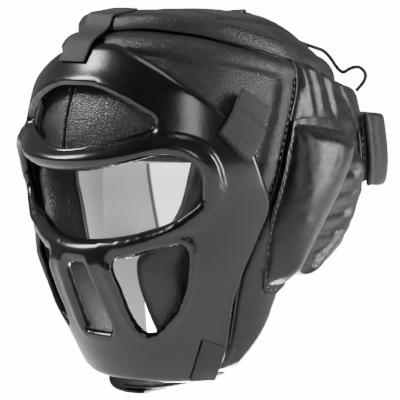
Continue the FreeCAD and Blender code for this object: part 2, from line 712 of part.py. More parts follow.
def build():
    pieces = forehead_pieces()
    for name, panel in (("cheek", cheek_panel), ("jaw", jaw_panel), ("rear", rear_panel)):
        pieces.update(both(name + "_cover", panel.cover()))
        pieces.update(both(name + "_foam", panel.foam()))
        pieces.update(both(name + "_lining", panel.lining()))
    ear_hollow = ear_solid(LEATHER, LEATHER, EAR_ROOT - EXTRA / 8)
    ear_foam = ear_solid(LEATHER + FIT, LEATHER + FIT, EAR_ROOT)
    pieces.update(both("ear_cover", ear_solid(0.0, 0.0, EAR_ROOT).cut(ear_hollow)))
    pieces.update(both("ear_foam", ear_foam))
    pieces["crown_cover"] = crown_cover()
    pieces["crown_foam"] = crown_foam()
    pieces["crown_lining"] = crown_lining()
    pieces["face_cage"] = face_cage()
    pieces.update(both("side_strap", side_strap.leaf()))
    pieces.update(both("lower_strap", lower_strap.leaf()))
    pieces["top_strap"] = slab(top_skin(STRAP_THICKNESS), top_skin(0.0), 17, 5)
    tongues = [side_strap.tongue(), lower_strap.tongue(), top_strap.tongue()]
    tongues += [mirrored(t) for t in tongues[:2]]
    pieces["strap_tongues"] = Part.makeCompound(tongues)
    pieces.update(both("side_loop_patch", side_strap.patch(0.80, PATCH_THICKNESS)))
    pieces["top_loop_patch"] = top_patch()
    pieces["rear_strap"] = rear_strap()
    pieces["rear_hook_patch"] = rear_patch(REAR_STRAP_FREE + 0.5, REAR_STRAP_FREE + REAR_STRAP_LAP)
    pieces["rear_strap_anchor"] = rear_patch(REAR_STRAP_FIXED - REAR_STRAP_LAP, REAR_STRAP_FIXED - 0.5)
    pieces["chin_strap"] = chin_piece(CHIN_LAP, -1.0, CHIN_STRAP_THICKNESS + FIT)
    pieces["chin_tab"] = chin_piece(1.0, -CHIN_LAP / 4, 0.0)
    pieces["lace_eyelets"] = Part.makeCompound([eyelet(x, y) for x, y in eyelet_places()])
    pieces["crown_lace"] = tube(lace_route(), LACE_DIAMETER)
    return pieces


def main():
    os.makedirs("parts", exist_ok=True)
    for name, shape in build().items():
        shape.exportStep("parts/%s.step" % name)


main()
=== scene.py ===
# %% [markdown]
# Boxing headgear with a moulded face cage. The padding is black synthetic leather sewn over foam, lined with
# pale grey cloth. The cage is one satin black moulding held on by webbing straps. The frame gives the sizes,
# and this lesson builds what the eye sees: crowned pads, a cage with rounded bars, stitches and a lace.

# %% Load the frame
import bisect
import math
import random

import bmesh
import bpy
from mathutils import Matrix, Vector, noise


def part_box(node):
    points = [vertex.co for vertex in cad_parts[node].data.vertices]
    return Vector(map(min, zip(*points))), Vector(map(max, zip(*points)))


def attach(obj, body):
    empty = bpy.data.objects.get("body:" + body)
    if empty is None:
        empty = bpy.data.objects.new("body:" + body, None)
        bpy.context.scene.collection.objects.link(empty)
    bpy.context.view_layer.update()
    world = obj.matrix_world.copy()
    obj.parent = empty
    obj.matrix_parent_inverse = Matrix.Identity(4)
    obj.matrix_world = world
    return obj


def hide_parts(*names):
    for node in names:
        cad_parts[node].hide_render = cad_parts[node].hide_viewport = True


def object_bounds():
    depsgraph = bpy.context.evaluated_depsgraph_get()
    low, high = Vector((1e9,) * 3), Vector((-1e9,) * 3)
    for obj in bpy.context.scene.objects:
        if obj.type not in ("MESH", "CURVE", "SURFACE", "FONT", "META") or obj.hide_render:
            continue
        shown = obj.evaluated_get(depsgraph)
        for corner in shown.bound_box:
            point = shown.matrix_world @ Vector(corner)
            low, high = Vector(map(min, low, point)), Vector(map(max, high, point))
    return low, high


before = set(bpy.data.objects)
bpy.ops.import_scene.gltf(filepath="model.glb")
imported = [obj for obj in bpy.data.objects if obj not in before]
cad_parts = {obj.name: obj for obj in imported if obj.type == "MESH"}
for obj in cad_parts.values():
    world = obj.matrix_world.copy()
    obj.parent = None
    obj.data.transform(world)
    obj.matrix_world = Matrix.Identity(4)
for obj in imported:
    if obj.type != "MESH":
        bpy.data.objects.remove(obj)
cad_low, cad_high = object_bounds()
MM = 0.001
random.seed(7)
print("CAD box", cad_low, cad_high)

# %% [markdown]
# Everything follows two surfaces: the outside of the padding and the outside of the cage. Both are stacks of
# half ellipses, so a place on them is an angle round the head and a height. Writing them as functions lets
# every seam, strap and stitch be laid on the same skin, which a hand-pushed mesh could not promise.

# %% Sizes read from the frame
# All the sizes and places from here on are in metres, and MM is one millimetre.
CENTRE_Y = -5.0 * MM
PAD_HALF_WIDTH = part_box("front_cover_left")[1].x
PAD_FRONT = -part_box("front_cover_left")[0].y
TOP_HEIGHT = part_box("crown_cover")[1].z
JAW_SHARE = 0.93
JAW_DROP = -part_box("jaw_cover_left")[0].z / JAW_SHARE
CAGE_FRONT = -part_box("face_cage")[0].y
CAGE_EDGE_SHARE = 0.9615
CAGE_HALF_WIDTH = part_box("face_cage")[1].x / CAGE_EDGE_SHARE
REAR_SHARE = 0.985
PAD_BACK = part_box("rear_cover_left")[1].y / REAR_SHARE
BACK_SQUARENESS = 2.3
PAD_THICKNESS = 27 * MM
REAR_THICKNESS = 22 * MM
print("half width %.1f mm, front %.1f, back %.1f" % (PAD_HALF_WIDTH / MM, PAD_FRONT / MM, PAD_BACK / MM))


# %% Curves through a few stations
def smooth(stations):
    """A smooth curve through (place, value) stations, held level past both ends."""
    pairs = sorted(stations)
    xs = [p[0] for p in pairs]
    ys = [p[1] for p in pairs]
    rises = [(ys[i + 1] - ys[i]) / (xs[i + 1] - xs[i]) for i in range(len(xs) - 1)]
    slopes = [rises[0]]
    for before, after in zip(rises, rises[1:]):
        slopes.append(0.0 if before * after <= 0 else 2 * before * after / (before + after))
    slopes.append(rises[-1])

    def value(x):
        x = min(max(x, xs[0]), xs[-1])
        i = min(bisect.bisect_right(xs, x) - 1, len(xs) - 2)
        width = xs[i + 1] - xs[i]
        t = (x - xs[i]) / width
        return ((1 + 2 * t) * (1 - t) ** 2 * ys[i] + t * (1 - t) ** 2 * width * slopes[i]
                + t * t * (3 - 2 * t) * ys[i + 1] + t * t * (t - 1) * width * slopes[i + 1])
    return value


def mix(a, b, t):
    return a + (b - a) * t


def ease(t):
    t = min(1.0, max(0.0, t))
    return t * t * (3 - 2 * t)


def height(share):
    return share * (TOP_HEIGHT if share > 0 else JAW_DROP)


def share_of(z):
    return z / (TOP_HEIGHT if z > 0 else JAW_DROP)


# %% The padding's and the cage's outside
PAD_SECTIONS = [(0.90, 0.72, 0.69, 0.62), (0.83, 0.79, 0.75, 0.71), (0.70, 0.88, 0.83, 0.81),
                (0.52, 0.95, 0.925, 0.90), (0.26, 0.99, 0.99, 0.97), (0.0, 1.00, 1.00, 1.00),
                (-0.2, 0.95, 0.945, 0.97), (-0.4, 0.875, 0.93, 0.88), (-0.65, 0.765, 0.80, 0.70),
                (-0.85, 0.64, 0.66, 0.54), (-1.0, 0.50, 0.54, 0.42)]
CAGE_SECTIONS = [(0.80, 0.76, 0.735), (0.68, 0.86, 0.80), (0.52, 0.935, 0.88), (0.26, 0.985, 0.935),
                 (0.12, 1.0, 1.0), (-0.02, 0.995, 0.976), (-0.08, 0.985, 0.925), (-0.2, 0.955, 0.874),
                 (-0.3, 0.93, 0.869), (-0.38, 0.905, 0.884), (-0.5, 0.855, 0.833), (-0.67, 0.775, 0.736),
                 (-0.87, 0.66, 0.62), (-1.05, 0.50, 0.50)]
pad_width_at, pad_front_at, pad_back_at = [smooth([(r[0], r[i]) for r in PAD_SECTIONS]) for i in (1, 2, 3)]
cage_width_at, cage_front_at = [smooth([(r[0], r[i]) for r in CAGE_SECTIONS]) for i in (1, 2)]


def section_point(angle, z, half_width, front, back):
    a = math.radians(angle)
    s, c = math.sin(a), math.cos(a)
    power = 2.0 if c > 0 else BACK_SQUARENESS
    k = (abs(s) ** power + abs(c) ** power) ** (-1.0 / power)
    reach = front + CENTRE_Y if c > 0 else back - CENTRE_Y
    return Vector((half_width * s * k, CENTRE_Y - reach * c * k, z))


def pad(angle, z, off=0.0):
    f = share_of(z)
    return section_point(angle, z, PAD_HALF_WIDTH * pad_width_at(f) + off, PAD_FRONT * pad_front_at(f) + off,
                         PAD_BACK * pad_back_at(f) + off)


def cage(angle, z, off=0.0):
    f = share_of(z)
    return section_point(angle, z, CAGE_HALF_WIDTH * cage_width_at(f) + off,
                         CAGE_FRONT * cage_front_at(f) + off, CAGE_FRONT)


# %% [markdown]
# Leather, moulded plastic, webbing and lining all need fine relief that changes over the surface. Grain and
# handling marks are used by several materials, so each is one node group with named inputs and outputs,
# built once. The shaders themselves stay in each material, where their plain numbers can be set directly.

# %% Node group: leather grain
def new_group(name, inputs, outputs):
    group = bpy.data.node_groups.new(name, "ShaderNodeTree")
    for label, value in inputs:
        socket = group.interface.new_socket(name=label, in_out="INPUT", socket_type="NodeSocketFloat")
        socket.default_value = value
    for label in outputs:
        group.interface.new_socket(name=label, in_out="OUTPUT", socket_type="NodeSocketFloat")
    start = group.nodes.new("NodeGroupInput")
    end = group.nodes.new("NodeGroupOutput")
    return group, start, end


def math_node(tree, operation, a, b=None):
    node = tree.nodes.new("ShaderNodeMath")
    node.operation = operation
    for i, value in enumerate((a, b)):
        if value is None:
            continue
        if isinstance(value, (int, float)):
            node.inputs[i].default_value = value
        else:
            tree.links.new(value, node.inputs[i])
    return node.outputs[0]


PEBBLE_GAIN = 2.2
PEBBLE_ROUNDING = 0.6


def build_grain_group():
    """Pebbled cells with creases between them, broken up by a coarser noise."""
    group, start, end = new_group("leather_grain", [("Scale", 700.0), ("Creases", 0.5)], ["Height", "Tone"])
    place = group.nodes.new("ShaderNodeTexCoord").outputs["Object"]
    cells = group.nodes.new("ShaderNodeTexVoronoi")
    cells.feature = "DISTANCE_TO_EDGE"
    group.links.new(place, cells.inputs["Vector"])
    group.links.new(start.outputs["Scale"], cells.inputs["Scale"])
    fine = group.nodes.new("ShaderNodeTexNoise")
    group.links.new(place, fine.inputs["Vector"])
    group.links.new(math_node(group, "MULTIPLY", start.outputs["Scale"], 0.18), fine.inputs["Scale"])
    fine.inputs["Detail"].default_value = 5.0
    swollen = math_node(group, "MULTIPLY", cells.outputs[0], PEBBLE_GAIN)
    pebble = math_node(group, "POWER", math_node(group, "MINIMUM", swollen, 1.0), PEBBLE_ROUNDING)
    crease = math_node(group, "MULTIPLY", fine.outputs[0], start.outputs["Creases"])
    group.links.new(math_node(group, "ADD", pebble, crease), end.inputs["Height"])
    group.links.new(fine.outputs[0], end.inputs["Tone"])
    return group


# %% Node group: handling marks
def build_handling_group():
    """Slow patches of duller and shinier surface, as hands and storage leave."""
    group, start, end = new_group("handling", [("Size", 25.0), ("Low", 0.3), ("High", 0.5)],
                                  ["Roughness", "Mask"])
    place = group.nodes.new("ShaderNodeTexCoord").outputs["Object"]
    patches = group.nodes.new("ShaderNodeTexNoise")
    patches.inputs["Detail"].default_value = 6.0
    group.links.new(place, patches.inputs["Vector"])
    group.links.new(start.outputs["Size"], patches.inputs["Scale"])
    span = math_node(group, "SUBTRACT", start.outputs["High"], start.outputs["Low"])
    above_low = math_node(group, "MULTIPLY", patches.outputs[0], span)
    value = math_node(group, "ADD", above_low, start.outputs["Low"])
    group.links.new(value, end.inputs["Roughness"])
    group.links.new(patches.outputs[0], end.inputs["Mask"])
    return group


# %% Node group: woven threads
def build_weave_group():
    """Over-and-under threads on the piece's own UV map, which is in metres along and across the cloth."""
    group, start, end = new_group("weave", [("Threads", 900.0)], ["Height"])
    uv = group.nodes.new("ShaderNodeTexCoord").outputs["UV"]
    split = group.nodes.new("ShaderNodeSeparateXYZ")
    group.links.new(uv, split.inputs[0])
    waves = []
    for axis in (0, 1):
        turns = math_node(group, "MULTIPLY", split.outputs[axis], start.outputs["Threads"])
        waves.append(math_node(group, "SINE", math_node(group, "MULTIPLY", turns, math.pi)))
    cross = math_node(group, "MULTIPLY", waves[0], waves[1])
    halved = math_node(group, "MULTIPLY", cross, 0.5)
    group.links.new(math_node(group, "ADD", halved, 0.5), end.inputs["Height"])
    return group


GRAIN = build_grain_group()
HANDLING = build_handling_group()
WEAVE = build_weave_group()
print("node groups", [g.name for g in (GRAIN, HANDLING, WEAVE)])


# %% [markdown]
# Every material starts as the same shader, takes its roughness from the handling marks, and gets its relief
# through one bump node. Colours go straight on the shader or through a two-colour ramp, because real black
# leather and plastic are never one even tone.

# %% A material with its shader, relief and roughness
def place_group(tree, group, **values):
    node = tree.nodes.new("ShaderNodeGroup")
    node.node_tree = group
    for label, value in values.items():
        node.inputs[label].default_value = value
    return node


def new_material(name, colour):
    material = bpy.data.materials.new(name)
    material.use_nodes = True
    tree = material.node_tree
    shader = tree.nodes["Principled BSDF"]
    shader.inputs["Base Color"].default_value = (*colour, 1.0)
    material.diffuse_color = (*colour, 1.0)
    return material, tree, shader


def add_bump(tree, shader, height_socket, distance, strength=1.0):
    bump = tree.nodes.new("ShaderNodeBump")
    bump.inputs["Distance"].default_value = distance
    bump.inputs["Strength"].default_value = strength
    tree.links.new(height_socket, bump.inputs["Height"])
    tree.links.new(bump.outputs[0], shader.inputs["Normal"])
    return bump


def add_tones(tree, shader, mask, dark, light):
    ramp = tree.nodes.new("ShaderNodeValToRGB")
    ramp.color_ramp.elements[0].position = 0.35
    ramp.color_ramp.elements[1].position = 0.7
    ramp.color_ramp.elements[0].color = (*dark, 1.0)
    ramp.color_ramp.elements[1].color = (*light, 1.0)
    tree.links.new(mask, ramp.inputs[0])
    tree.links.new(ramp.outputs[0], shader.inputs["Base Color"])


# %% Leather
LEATHER_DARK, LEATHER_LIGHT = (0.0055, 0.0053, 0.006), (0.012, 0.0115, 0.013)


def leather_material(name, grain_scale, relief, low, high):
    """Grained leather whose roughness lies between low and high."""
    material, tree, shader = new_material(name, LEATHER_LIGHT)
    grain = place_group(tree, GRAIN, Scale=grain_scale, Creases=0.9)
    marks = place_group(tree, HANDLING, Size=38.0, Low=low, High=high)
    add_tones(tree, shader, grain.outputs["Tone"], LEATHER_DARK, LEATHER_LIGHT)
    tree.links.new(marks.outputs["Roughness"], shader.inputs["Roughness"])
    shader.inputs["Specular IOR Level"].default_value = 0.55
    shader.inputs["Sheen Weight"].default_value = 0.03
    shader.inputs["Sheen Roughness"].default_value = 0.4
    add_bump(tree, shader, grain.outputs["Height"], relief)
    return material


LEATHER = leather_material("grained_leather", 620.0, 0.00022, 0.30, 0.48)
SMOOTH_LEATHER = leather_material("smooth_leather", 900.0, 0.00008, 0.18, 0.34)


# %% Moulded plastic
def plastic_material():
    material, tree, shader = new_material("cage_plastic", (0.0125, 0.0125, 0.0135))
    marks = place_group(tree, HANDLING, Size=30.0, Low=0.15, High=0.27)
    orange_peel = tree.nodes.new("ShaderNodeTexNoise")
    orange_peel.inputs["Scale"].default_value = 260.0
    tree.links.new(tree.nodes.new("ShaderNodeTexCoord").outputs["Object"], orange_peel.inputs["Vector"])
    tree.links.new(marks.outputs["Roughness"], shader.inputs["Roughness"])
    add_tones(tree, shader, marks.outputs["Mask"], (0.006, 0.006, 0.0066), (0.010, 0.010, 0.011))
    shader.inputs["Specular IOR Level"].default_value = 0.6
    add_bump(tree, shader, orange_peel.outputs[0], 0.00006)
    return material


PLASTIC = plastic_material()


# %% [markdown]
# Woven pieces share the thread pattern, which follows each piece's own UV map, so the weave runs along the
# strap. Fuzzy pieces, such as loop patches, thread and lace, are a fine noise with a little sheen, because
# single fibres are far too small to model.

# %% Webbing, hook-and-loop, lining and thread
def cloth_material(name, dark, light, threads, relief, roughness, sheen):
    material, tree, shader = new_material(name, light)
    weave = place_group(tree, WEAVE, Threads=threads)
    marks = place_group(tree, HANDLING, Size=60.0, Low=roughness - 0.08, High=min(1.0, roughness + 0.08))
    add_tones(tree, shader, weave.outputs["Height"], dark, light)
    tree.links.new(marks.outputs["Roughness"], shader.inputs["Roughness"])
    shader.inputs["Sheen Weight"].default_value = sheen
    add_bump(tree, shader, weave.outputs["Height"], relief)
    return material


def fuzz_material(name, dark, light, scale, relief):
    material, tree, shader = new_material(name, light)
    fibres = tree.nodes.new("ShaderNodeTexNoise")
    fibres.inputs["Scale"].default_value = scale
    fibres.inputs["Detail"].default_value = 8.0
    tree.links.new(tree.nodes.new("ShaderNodeTexCoord").outputs["Object"], fibres.inputs["Vector"])
    add_tones(tree, shader, fibres.outputs[0], dark, light)
    shader.inputs["Roughness"].default_value = 0.9
    shader.inputs["Sheen Weight"].default_value = 0.25
    add_bump(tree, shader, fibres.outputs[0], relief)
    return material


WEBBING = cloth_material("webbing", (0.004, 0.004, 0.0045), (0.018, 0.018, 0.02), 900.0, 0.0003, 0.6, 0.06)
LINING = cloth_material("lining_cloth", (0.10, 0.10, 0.105), (0.14, 0.14, 0.148), 900.0, 0.00015, 0.7, 0.15)


def make_lining_with_painted_light():
    """Silvery beside the cheeks, then a dark sewn line, then painted near white behind the ears: painted
    light standing for the bright backdrop seen through the ear hole.
    """
    material, tree, shader = new_material("rear_lining_cloth", (0.6, 0.6, 0.62))
    split = tree.nodes.new("ShaderNodeSeparateXYZ")
    tree.links.new(tree.nodes.new("ShaderNodeTexCoord").outputs["Object"], split.inputs[0])
    ramp = tree.nodes.new("ShaderNodeValToRGB")
    place = tree.nodes.new("ShaderNodeMapRange")
    place.inputs["From Min"].default_value = 0.0
    place.inputs["From Max"].default_value = 100 * MM
    tree.links.new(split.outputs["Y"], place.inputs["Value"])
    tree.links.new(place.outputs[0], ramp.inputs[0])
    # The grey from the front is the lining's own colour and the dark band is its sewn binding. The near-white
    # band from about 36 mm back is painted light, standing for the backdrop seen through the ear hole.
    elements = ramp.color_ramp.elements
    elements[0].position, elements[0].color = 0.31, (0.24, 0.24, 0.25, 1)
    elements[1].position, elements[1].color = 0.36, (0.95, 0.95, 0.95, 1)
    for position, colour in ((0.32, (0.03, 0.03, 0.03, 1)), (0.345, (0.03, 0.03, 0.03, 1))):
        elements.new(position).color = colour
    tree.links.new(ramp.outputs[0], shader.inputs["Base Color"])
    weave = place_group(tree, WEAVE, Threads=900.0)
    shader.inputs["Roughness"].default_value = 0.7
    add_bump(tree, shader, weave.outputs["Height"], 0.0001)
    return material


REAR_LINING_PAINTED_LIGHT = make_lining_with_painted_light()
HOOK_LOOP = fuzz_material("loop_patch", (0.006, 0.006, 0.006), (0.03, 0.03, 0.032), 1800.0, 0.0008)
THREAD = fuzz_material("thread", (0.10, 0.10, 0.11), (0.26, 0.26, 0.27), 4000.0, 0.0001)
LACE = fuzz_material("lace_cord", (0.012, 0.012, 0.014), (0.05, 0.05, 0.056), 2600.0, 0.0003)


def metal_material():
    material, tree, shader = new_material("eyelet_metal", (0.06, 0.06, 0.065))
    marks = place_group(tree, HANDLING, Size=400.0, Low=0.25, High=0.5)
    tree.links.new(marks.outputs["Roughness"], shader.inputs["Roughness"])
    shader.inputs["Metallic"].default_value = 1.0
    return material


METAL = metal_material()
print("materials", len(bpy.data.materials))


# %% [markdown]
# Each piece starts as a grid or a block of grid cells made by an operator. A block has shares across, up and
# through its thickness, so one mapping function gives its outside, its inside and its four sides together.
# Cells are packed towards the edges, because that is where padding rolls over and a straight grid would
# leave corners.

# %% From a block of cells to a finished object
scene = bpy.context.scene


def block_grid(columns, rows, layers):
    """A closed block from 0 to 1 on each axis, cut into cells."""
    bm = bmesh.new()
    bmesh.ops.create_cube(bm, size=1.0)
    for axis, count in enumerate((columns, rows, layers)):
        along = [e for e in bm.edges if abs(e.verts[0].co[axis] - e.verts[1].co[axis]) > 1e-6]
        bmesh.ops.subdivide_edges(bm, edges=along, cuts=count - 1, use_grid_fill=True)
    bmesh.ops.translate(bm, verts=bm.verts, vec=(0.5, 0.5, 0.5))
    return bm


def crowd(t):
    """Shares packed towards both ends."""
    return mix(t, 0.5 - 0.5 * math.cos(math.pi * t), 0.75)


def shape(bm, place):
    """Move every point by the mapping from shares to the real place, keeping metres along and up as UV."""
    uv = bm.loops.layers.uv.new("UVMap")
    middle = place(0.5, 0.5, 1.0)
    across = sum((place((i + 1) / 8, 0.5, 1.0) - place(i / 8, 0.5, 1.0)).length for i in range(8))
    up = sum((place(0.5, (i + 1) / 8, 1.0) - place(0.5, i / 8, 1.0)).length for i in range(8))
    for face in bm.faces:
        for loop in face.loops:
            co = loop.vert.co
            loop[uv].uv = (co.x * across, co.y * up)
    for vert in bm.verts:
        vert.co = place(*vert.co)
    return middle


def to_object(name, bm, material, body, subdivision=0):
    for face in bm.faces:
        face.smooth = True
    mesh = bpy.data.meshes.new(name)
    bm.to_mesh(mesh)
    bm.free()
    mesh.materials.append(material)
    obj = bpy.data.objects.new(name, mesh)
    scene.collection.objects.link(obj)
    if subdivision:
        modifier = obj.modifiers.new("rounding", "SUBSURF")
        modifier.levels = subdivision
        modifier.render_levels = subdivision
    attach(obj, body)
    return obj


def flip_sides(bm):
    """The right-hand twin of a left-hand piece."""
    bmesh.ops.scale(bm, verts=bm.verts, vec=(-1, 1, 1))
    bmesh.ops.reverse_faces(bm, faces=bm.faces)


# %% [markdown]
# A padded panel is a crowned form: full in the middle, rolled over at its edges, and drawn in by its seams.
# The real one is leather stretched over foam and stitched all round, so the edge falls in a quarter round,
# and the thread puckers the leather every few millimetres. Rolls and channels sewn into a panel are humps
# and valleys of the same skin, given as distances from its edges.

# %% The skin of a padded panel
def fall(distance, radius):
    """How far a rolled edge lies under the panel, at a distance from the seam."""
    if distance >= radius:
        return 0.0
    t = 1.0 - max(0.0, distance) / radius
    return radius * (1.0 - math.sqrt(1.0 - t * t))


def roll(distance, start, width, rise):
    """A stuffed roll between two lines of stitching."""
    t = (distance - start) / width
    return rise * math.sqrt(max(0.0, 1 - (2 * t - 1) ** 2)) if 0 < t < 1 else 0.0


def pucker(along, distance, reach=9 * MM, depth=0.5 * MM, pitch=7 * MM):
    """Small pulls in the leather beside a seam."""
    wave = noise.noise(Vector((along / pitch, distance / (3 * reach), 1.7)))
    return depth * wave * math.exp(-max(0.0, distance) / reach)


def creases(point, depth, size=32 * MM):
    """Slow unevenness of hand-filled foam, with a few sharper folds."""
    p = point / size
    slow = noise.noise(p)
    sharp = 1 - abs(noise.noise(p * 2.1 + Vector((5, 2, 8))))
    return depth * (slow - 0.8 * sharp ** 6)


class PadPanel:
    """Front and rear edges are angles by height, bottom and top are heights by share, in metres."""

    def __init__(self, front, rear, bottom, top, thickness, joined_low=None, joined_high=None,
                 front_edge=None):
        self.front, self.rear, self.bottom, self.top, self.thickness = front, rear, bottom, top, thickness
        self.joined_low = joined_low or (lambda angle: 0.0)
        self.joined_high = joined_high or (lambda angle: 0.0)
        self.front_edge = front_edge

    def where(self, u, v):
        z = mix(self.bottom(u), self.top(u), v)
        angle = mix(self.front(z), self.rear(z), u)
        return angle, z

    def distances(self, u, v):
        """Metres to the front, rear, bottom and top edges."""
        z = mix(self.bottom(u), self.top(u), v)
        girth = math.radians(self.rear(z) - self.front(z)) * pad(90, z).x * 1.08
        tall = self.top(u) - self.bottom(u)
        return u * girth, (1 - u) * girth, v * tall, (1 - v) * tall

    def drop(self, angle, edges, edge):
        """Rolled edges, except where two panels are one skin."""
        front, rear, low, high = edges
        low_fall = fall(low, edge) * (1 - self.joined_low(angle))
        high_fall = fall(high, edge) * (1 - self.joined_high(angle))
        return max(fall(front, self.front_edge or edge), fall(rear, edge), low_fall, high_fall)

    def place(self, relief, edge=6 * MM, gap=0.6 * MM):
        def point(u, v, w):
            u, v = crowd(u), crowd(v)
            angle, z = self.where(u, v)
            edges = self.distances(u, v)
            front, rear, low, high = edges
            skin = relief(angle, z, edges) - self.drop(angle, edges, edge)
            skin += pucker(z, rear) + pucker(z, front)
            skin += pucker(angle * MM, high) * (1 - self.joined_high(angle))
            low_gap = gap * (1 - 1.6 * self.joined_low(angle))
            high_gap = gap * (1 - 1.6 * self.joined_high(angle))
            angle += math.degrees(gap / 0.1) * (1 - 2 * u)
            z += mix(low_gap, -high_gap, v)
            outer = pad(angle, z, skin)
            outer += creases(outer, 0.35 * MM) * (outer - Vector((0, 0, z))).normalized()
            return pad(angle, z, -self.thickness).lerp(outer, w)
        return point


def level(value):
    return lambda u: value


# %% Where the panels meet
side_seam = smooth([(height(0.9), 99), (height(0.6), 95.5), (height(0.28), 88), (height(-0.12), 79),
                    (height(-0.32), 73), (height(-0.6), 70.5), (height(-0.95), 71)])
face_opening = smooth([(height(0.1), 50), (height(-0.13), 44), (height(-0.27), 34), (height(-0.37), 25),
                       (height(-0.6), 27), (height(-0.8), 33)])
jaw_rear = smooth([(height(-0.4), 99), (height(-0.54), 95.5), (height(-0.7), 94), (height(-0.95), 81)])
BROW = height(0.10)
JAW_TOP = height(-0.415)
FOREHEAD_SEAM = -8.0
REAR_GAP = 9.0
front_top = smooth([(0.0, height(0.86)), (0.2, height(0.88)), (0.5, height(0.85)), (0.75, height(0.78)),
                    (1.0, height(0.69))])
rear_top = smooth([(0.0, height(0.69)), (0.13, height(0.63)), (0.26, height(0.56)), (0.39, height(0.51)),
                   (0.52, height(0.48)), (1.0, height(0.46))])
rear_rise = smooth([(0.0, 0.0), (0.1, 4 * MM), (0.5, 4 * MM), (0.7, 0.0)])
rear_bottom = smooth([(0.0, height(-0.42)), (0.27, height(-0.43)), (0.36, height(-0.50)),
                      (0.5, height(-0.47)), (0.65, height(-0.40)), (1.0, height(-0.33))])


def beside_seam(angle):
    return ease((angle - 48) / 8)


def before_ear(angle):
    return 1 - ease((angle - 88) / 10)


cheek = PadPanel(face_opening, side_seam, level(height(-0.80)), level(BROW), PAD_THICKNESS,
                 joined_high=beside_seam, front_edge=9 * MM)
jaw = PadPanel(side_seam, jaw_rear, level(height(-0.93)), level(JAW_TOP), PAD_THICKNESS,
               joined_high=lambda angle: 1.0)
rear = PadPanel(side_seam, level(180 - REAR_GAP), rear_bottom, lambda u: rear_top(u) + rear_rise(u),
                REAR_THICKNESS, joined_low=before_ear)


# %% Reliefs: the rolls and channels sewn into each panel
TOP_ROLL = 15 * MM
SIDE_ROLL = 17 * MM
RECESS = 3.0 * MM


def side_roll(d_rear):
    return -RECESS + roll(d_rear, 0, SIDE_ROLL, RECESS + 1.5 * MM)


def front_relief(angle, z, edges):
    _, d_rear, _, d_top = edges
    from_top = -RECESS + roll(d_top, 0, TOP_ROLL, RECESS + 2.5 * MM)
    return max(from_top, side_roll(d_rear))


def cheek_relief(angle, z, edges):
    d_front, d_rear, _, _ = edges
    near_face = -RECESS + roll(d_front, 0, 34 * MM, RECESS)
    return max(near_face, side_roll(d_rear))


JAW_ROLL = 40 * MM


def jaw_relief(angle, z, edges):
    return roll(edges[0], 0, JAW_ROLL, 4.5 * MM) - 2.0 * MM


# Behind the ear cup a long roll runs down to the jaw, with a sewn line behind it and small puffs before it.
ear_seam = smooth([(height(0.62), 118), (height(0.42), 121), (height(0.20), 127), (height(-0.1), 127),
                   (height(-0.3), 124), (height(-0.4), 117), (height(-0.53), 110)])
LONG_ROLL = 13 * MM
PUFF_PITCH = 14.5 * MM
UPPER_SEAM = 110.0
UPPER_FOLDS = [(98.5, 1.6), (104.0, 2.2)]


def rear_relief(angle, z, edges):
    d_front, _, _, d_top = edges
    low = ease((height(0.12) - z) / (14 * MM))
    behind = math.radians(angle - ear_seam(z)) * 0.118
    relief = -3.0 * MM * math.exp(-(behind / (2.0 * MM)) ** 2)
    relief += roll(-behind, 0.5 * MM, LONG_ROLL, 4.5 * MM) * low
    if behind < -LONG_ROLL and angle > 98:
        puff = abs(math.sin(math.pi * (z - height(-0.30)) / PUFF_PITCH)) ** 0.5
        relief += low * (3.5 * MM * puff - 2.5 * MM)
    if behind > 0:
        relief -= 1.5 * MM * low
    relief += before_ear(angle) * low * (jaw_relief(angle, z, edges) + 2.0 * MM)
    high = 1 - ease((height(0.40) - z) / (12 * MM))
    relief -= 3.0 * MM * math.exp(-((angle - UPPER_SEAM) / 0.9) ** 2) * high
    for fold, width in UPPER_FOLDS:
        relief += 1.6 * MM * math.exp(-((angle - fold) / width) ** 2) * high
    wrinkle = noise.noise(Vector((angle / 14, z / (5 * MM), 3.0)))
    return relief + 1.1 * MM * wrinkle * ease((angle - UPPER_SEAM) / 6)


def pad_piece(name, panel, relief, columns, rows, mirror, material, nodes, edge=6 * MM):
    bm = block_grid(columns, rows, 3)
    shape(bm, panel.place(relief, edge))
    if mirror:
        flip_sides(bm)
    obj = to_object(name, bm, material, "headgear", 1)
    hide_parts(*nodes)
    return obj


def front_panel(side):
    return PadPanel(level(side * FOREHEAD_SEAM), side_seam, level(BROW), front_top, PAD_THICKNESS,
                    joined_low=beside_seam, front_edge=1.6 * MM)


for label, side in (("left", 1), ("right", -1)):
    twin = side < 0
    pad_piece("front_pad_" + label, front_panel(side), front_relief, 54, 40, twin, LEATHER,
              ["front_cover_" + label, "front_foam_" + label], 5 * MM)
    pad_piece("cheek_pad_" + label, cheek, cheek_relief, 36, 48, twin, LEATHER,
              ["cheek_cover_" + label, "cheek_foam_" + label], 5 * MM)
    pad_piece("jaw_pad_" + label, jaw, jaw_relief, 24, 40, twin, SMOOTH_LEATHER,
              ["jaw_cover_" + label, "jaw_foam_" + label], 8 * MM)
    pad_piece("rear_pad_" + label, rear, rear_relief, 84, 72, twin, SMOOTH_LEATHER,
              ["rear_cover_" + label, "rear_foam_" + label], 7 * MM)
print("padded panels made")


# %% [markdown]
# The linings are thin cloth skins on the head side, a little drawn in along their edges. They matter because
# the eye opening looks straight through onto the far side's lining.

# %% Linings
LINING_THICKNESS = 1.8 * MM
LINING_GAP = 0.5 * MM


def lining_place(panel):
    def point(u, v, w):
        u, v = crowd(u), crowd(v)
        angle, z = panel.where(u, v)
        front, rear_d, low, high = panel.distances(u, v)
        puff = 0.8 * MM - max(fall(d, 3 * MM) for d in (front, rear_d, low, high)) * 0.3
        depth = mix(panel.thickness + LINING_GAP + LINING_THICKNESS + puff, panel.thickness + LINING_GAP, w)
        return pad(angle, z, -depth)
    return point


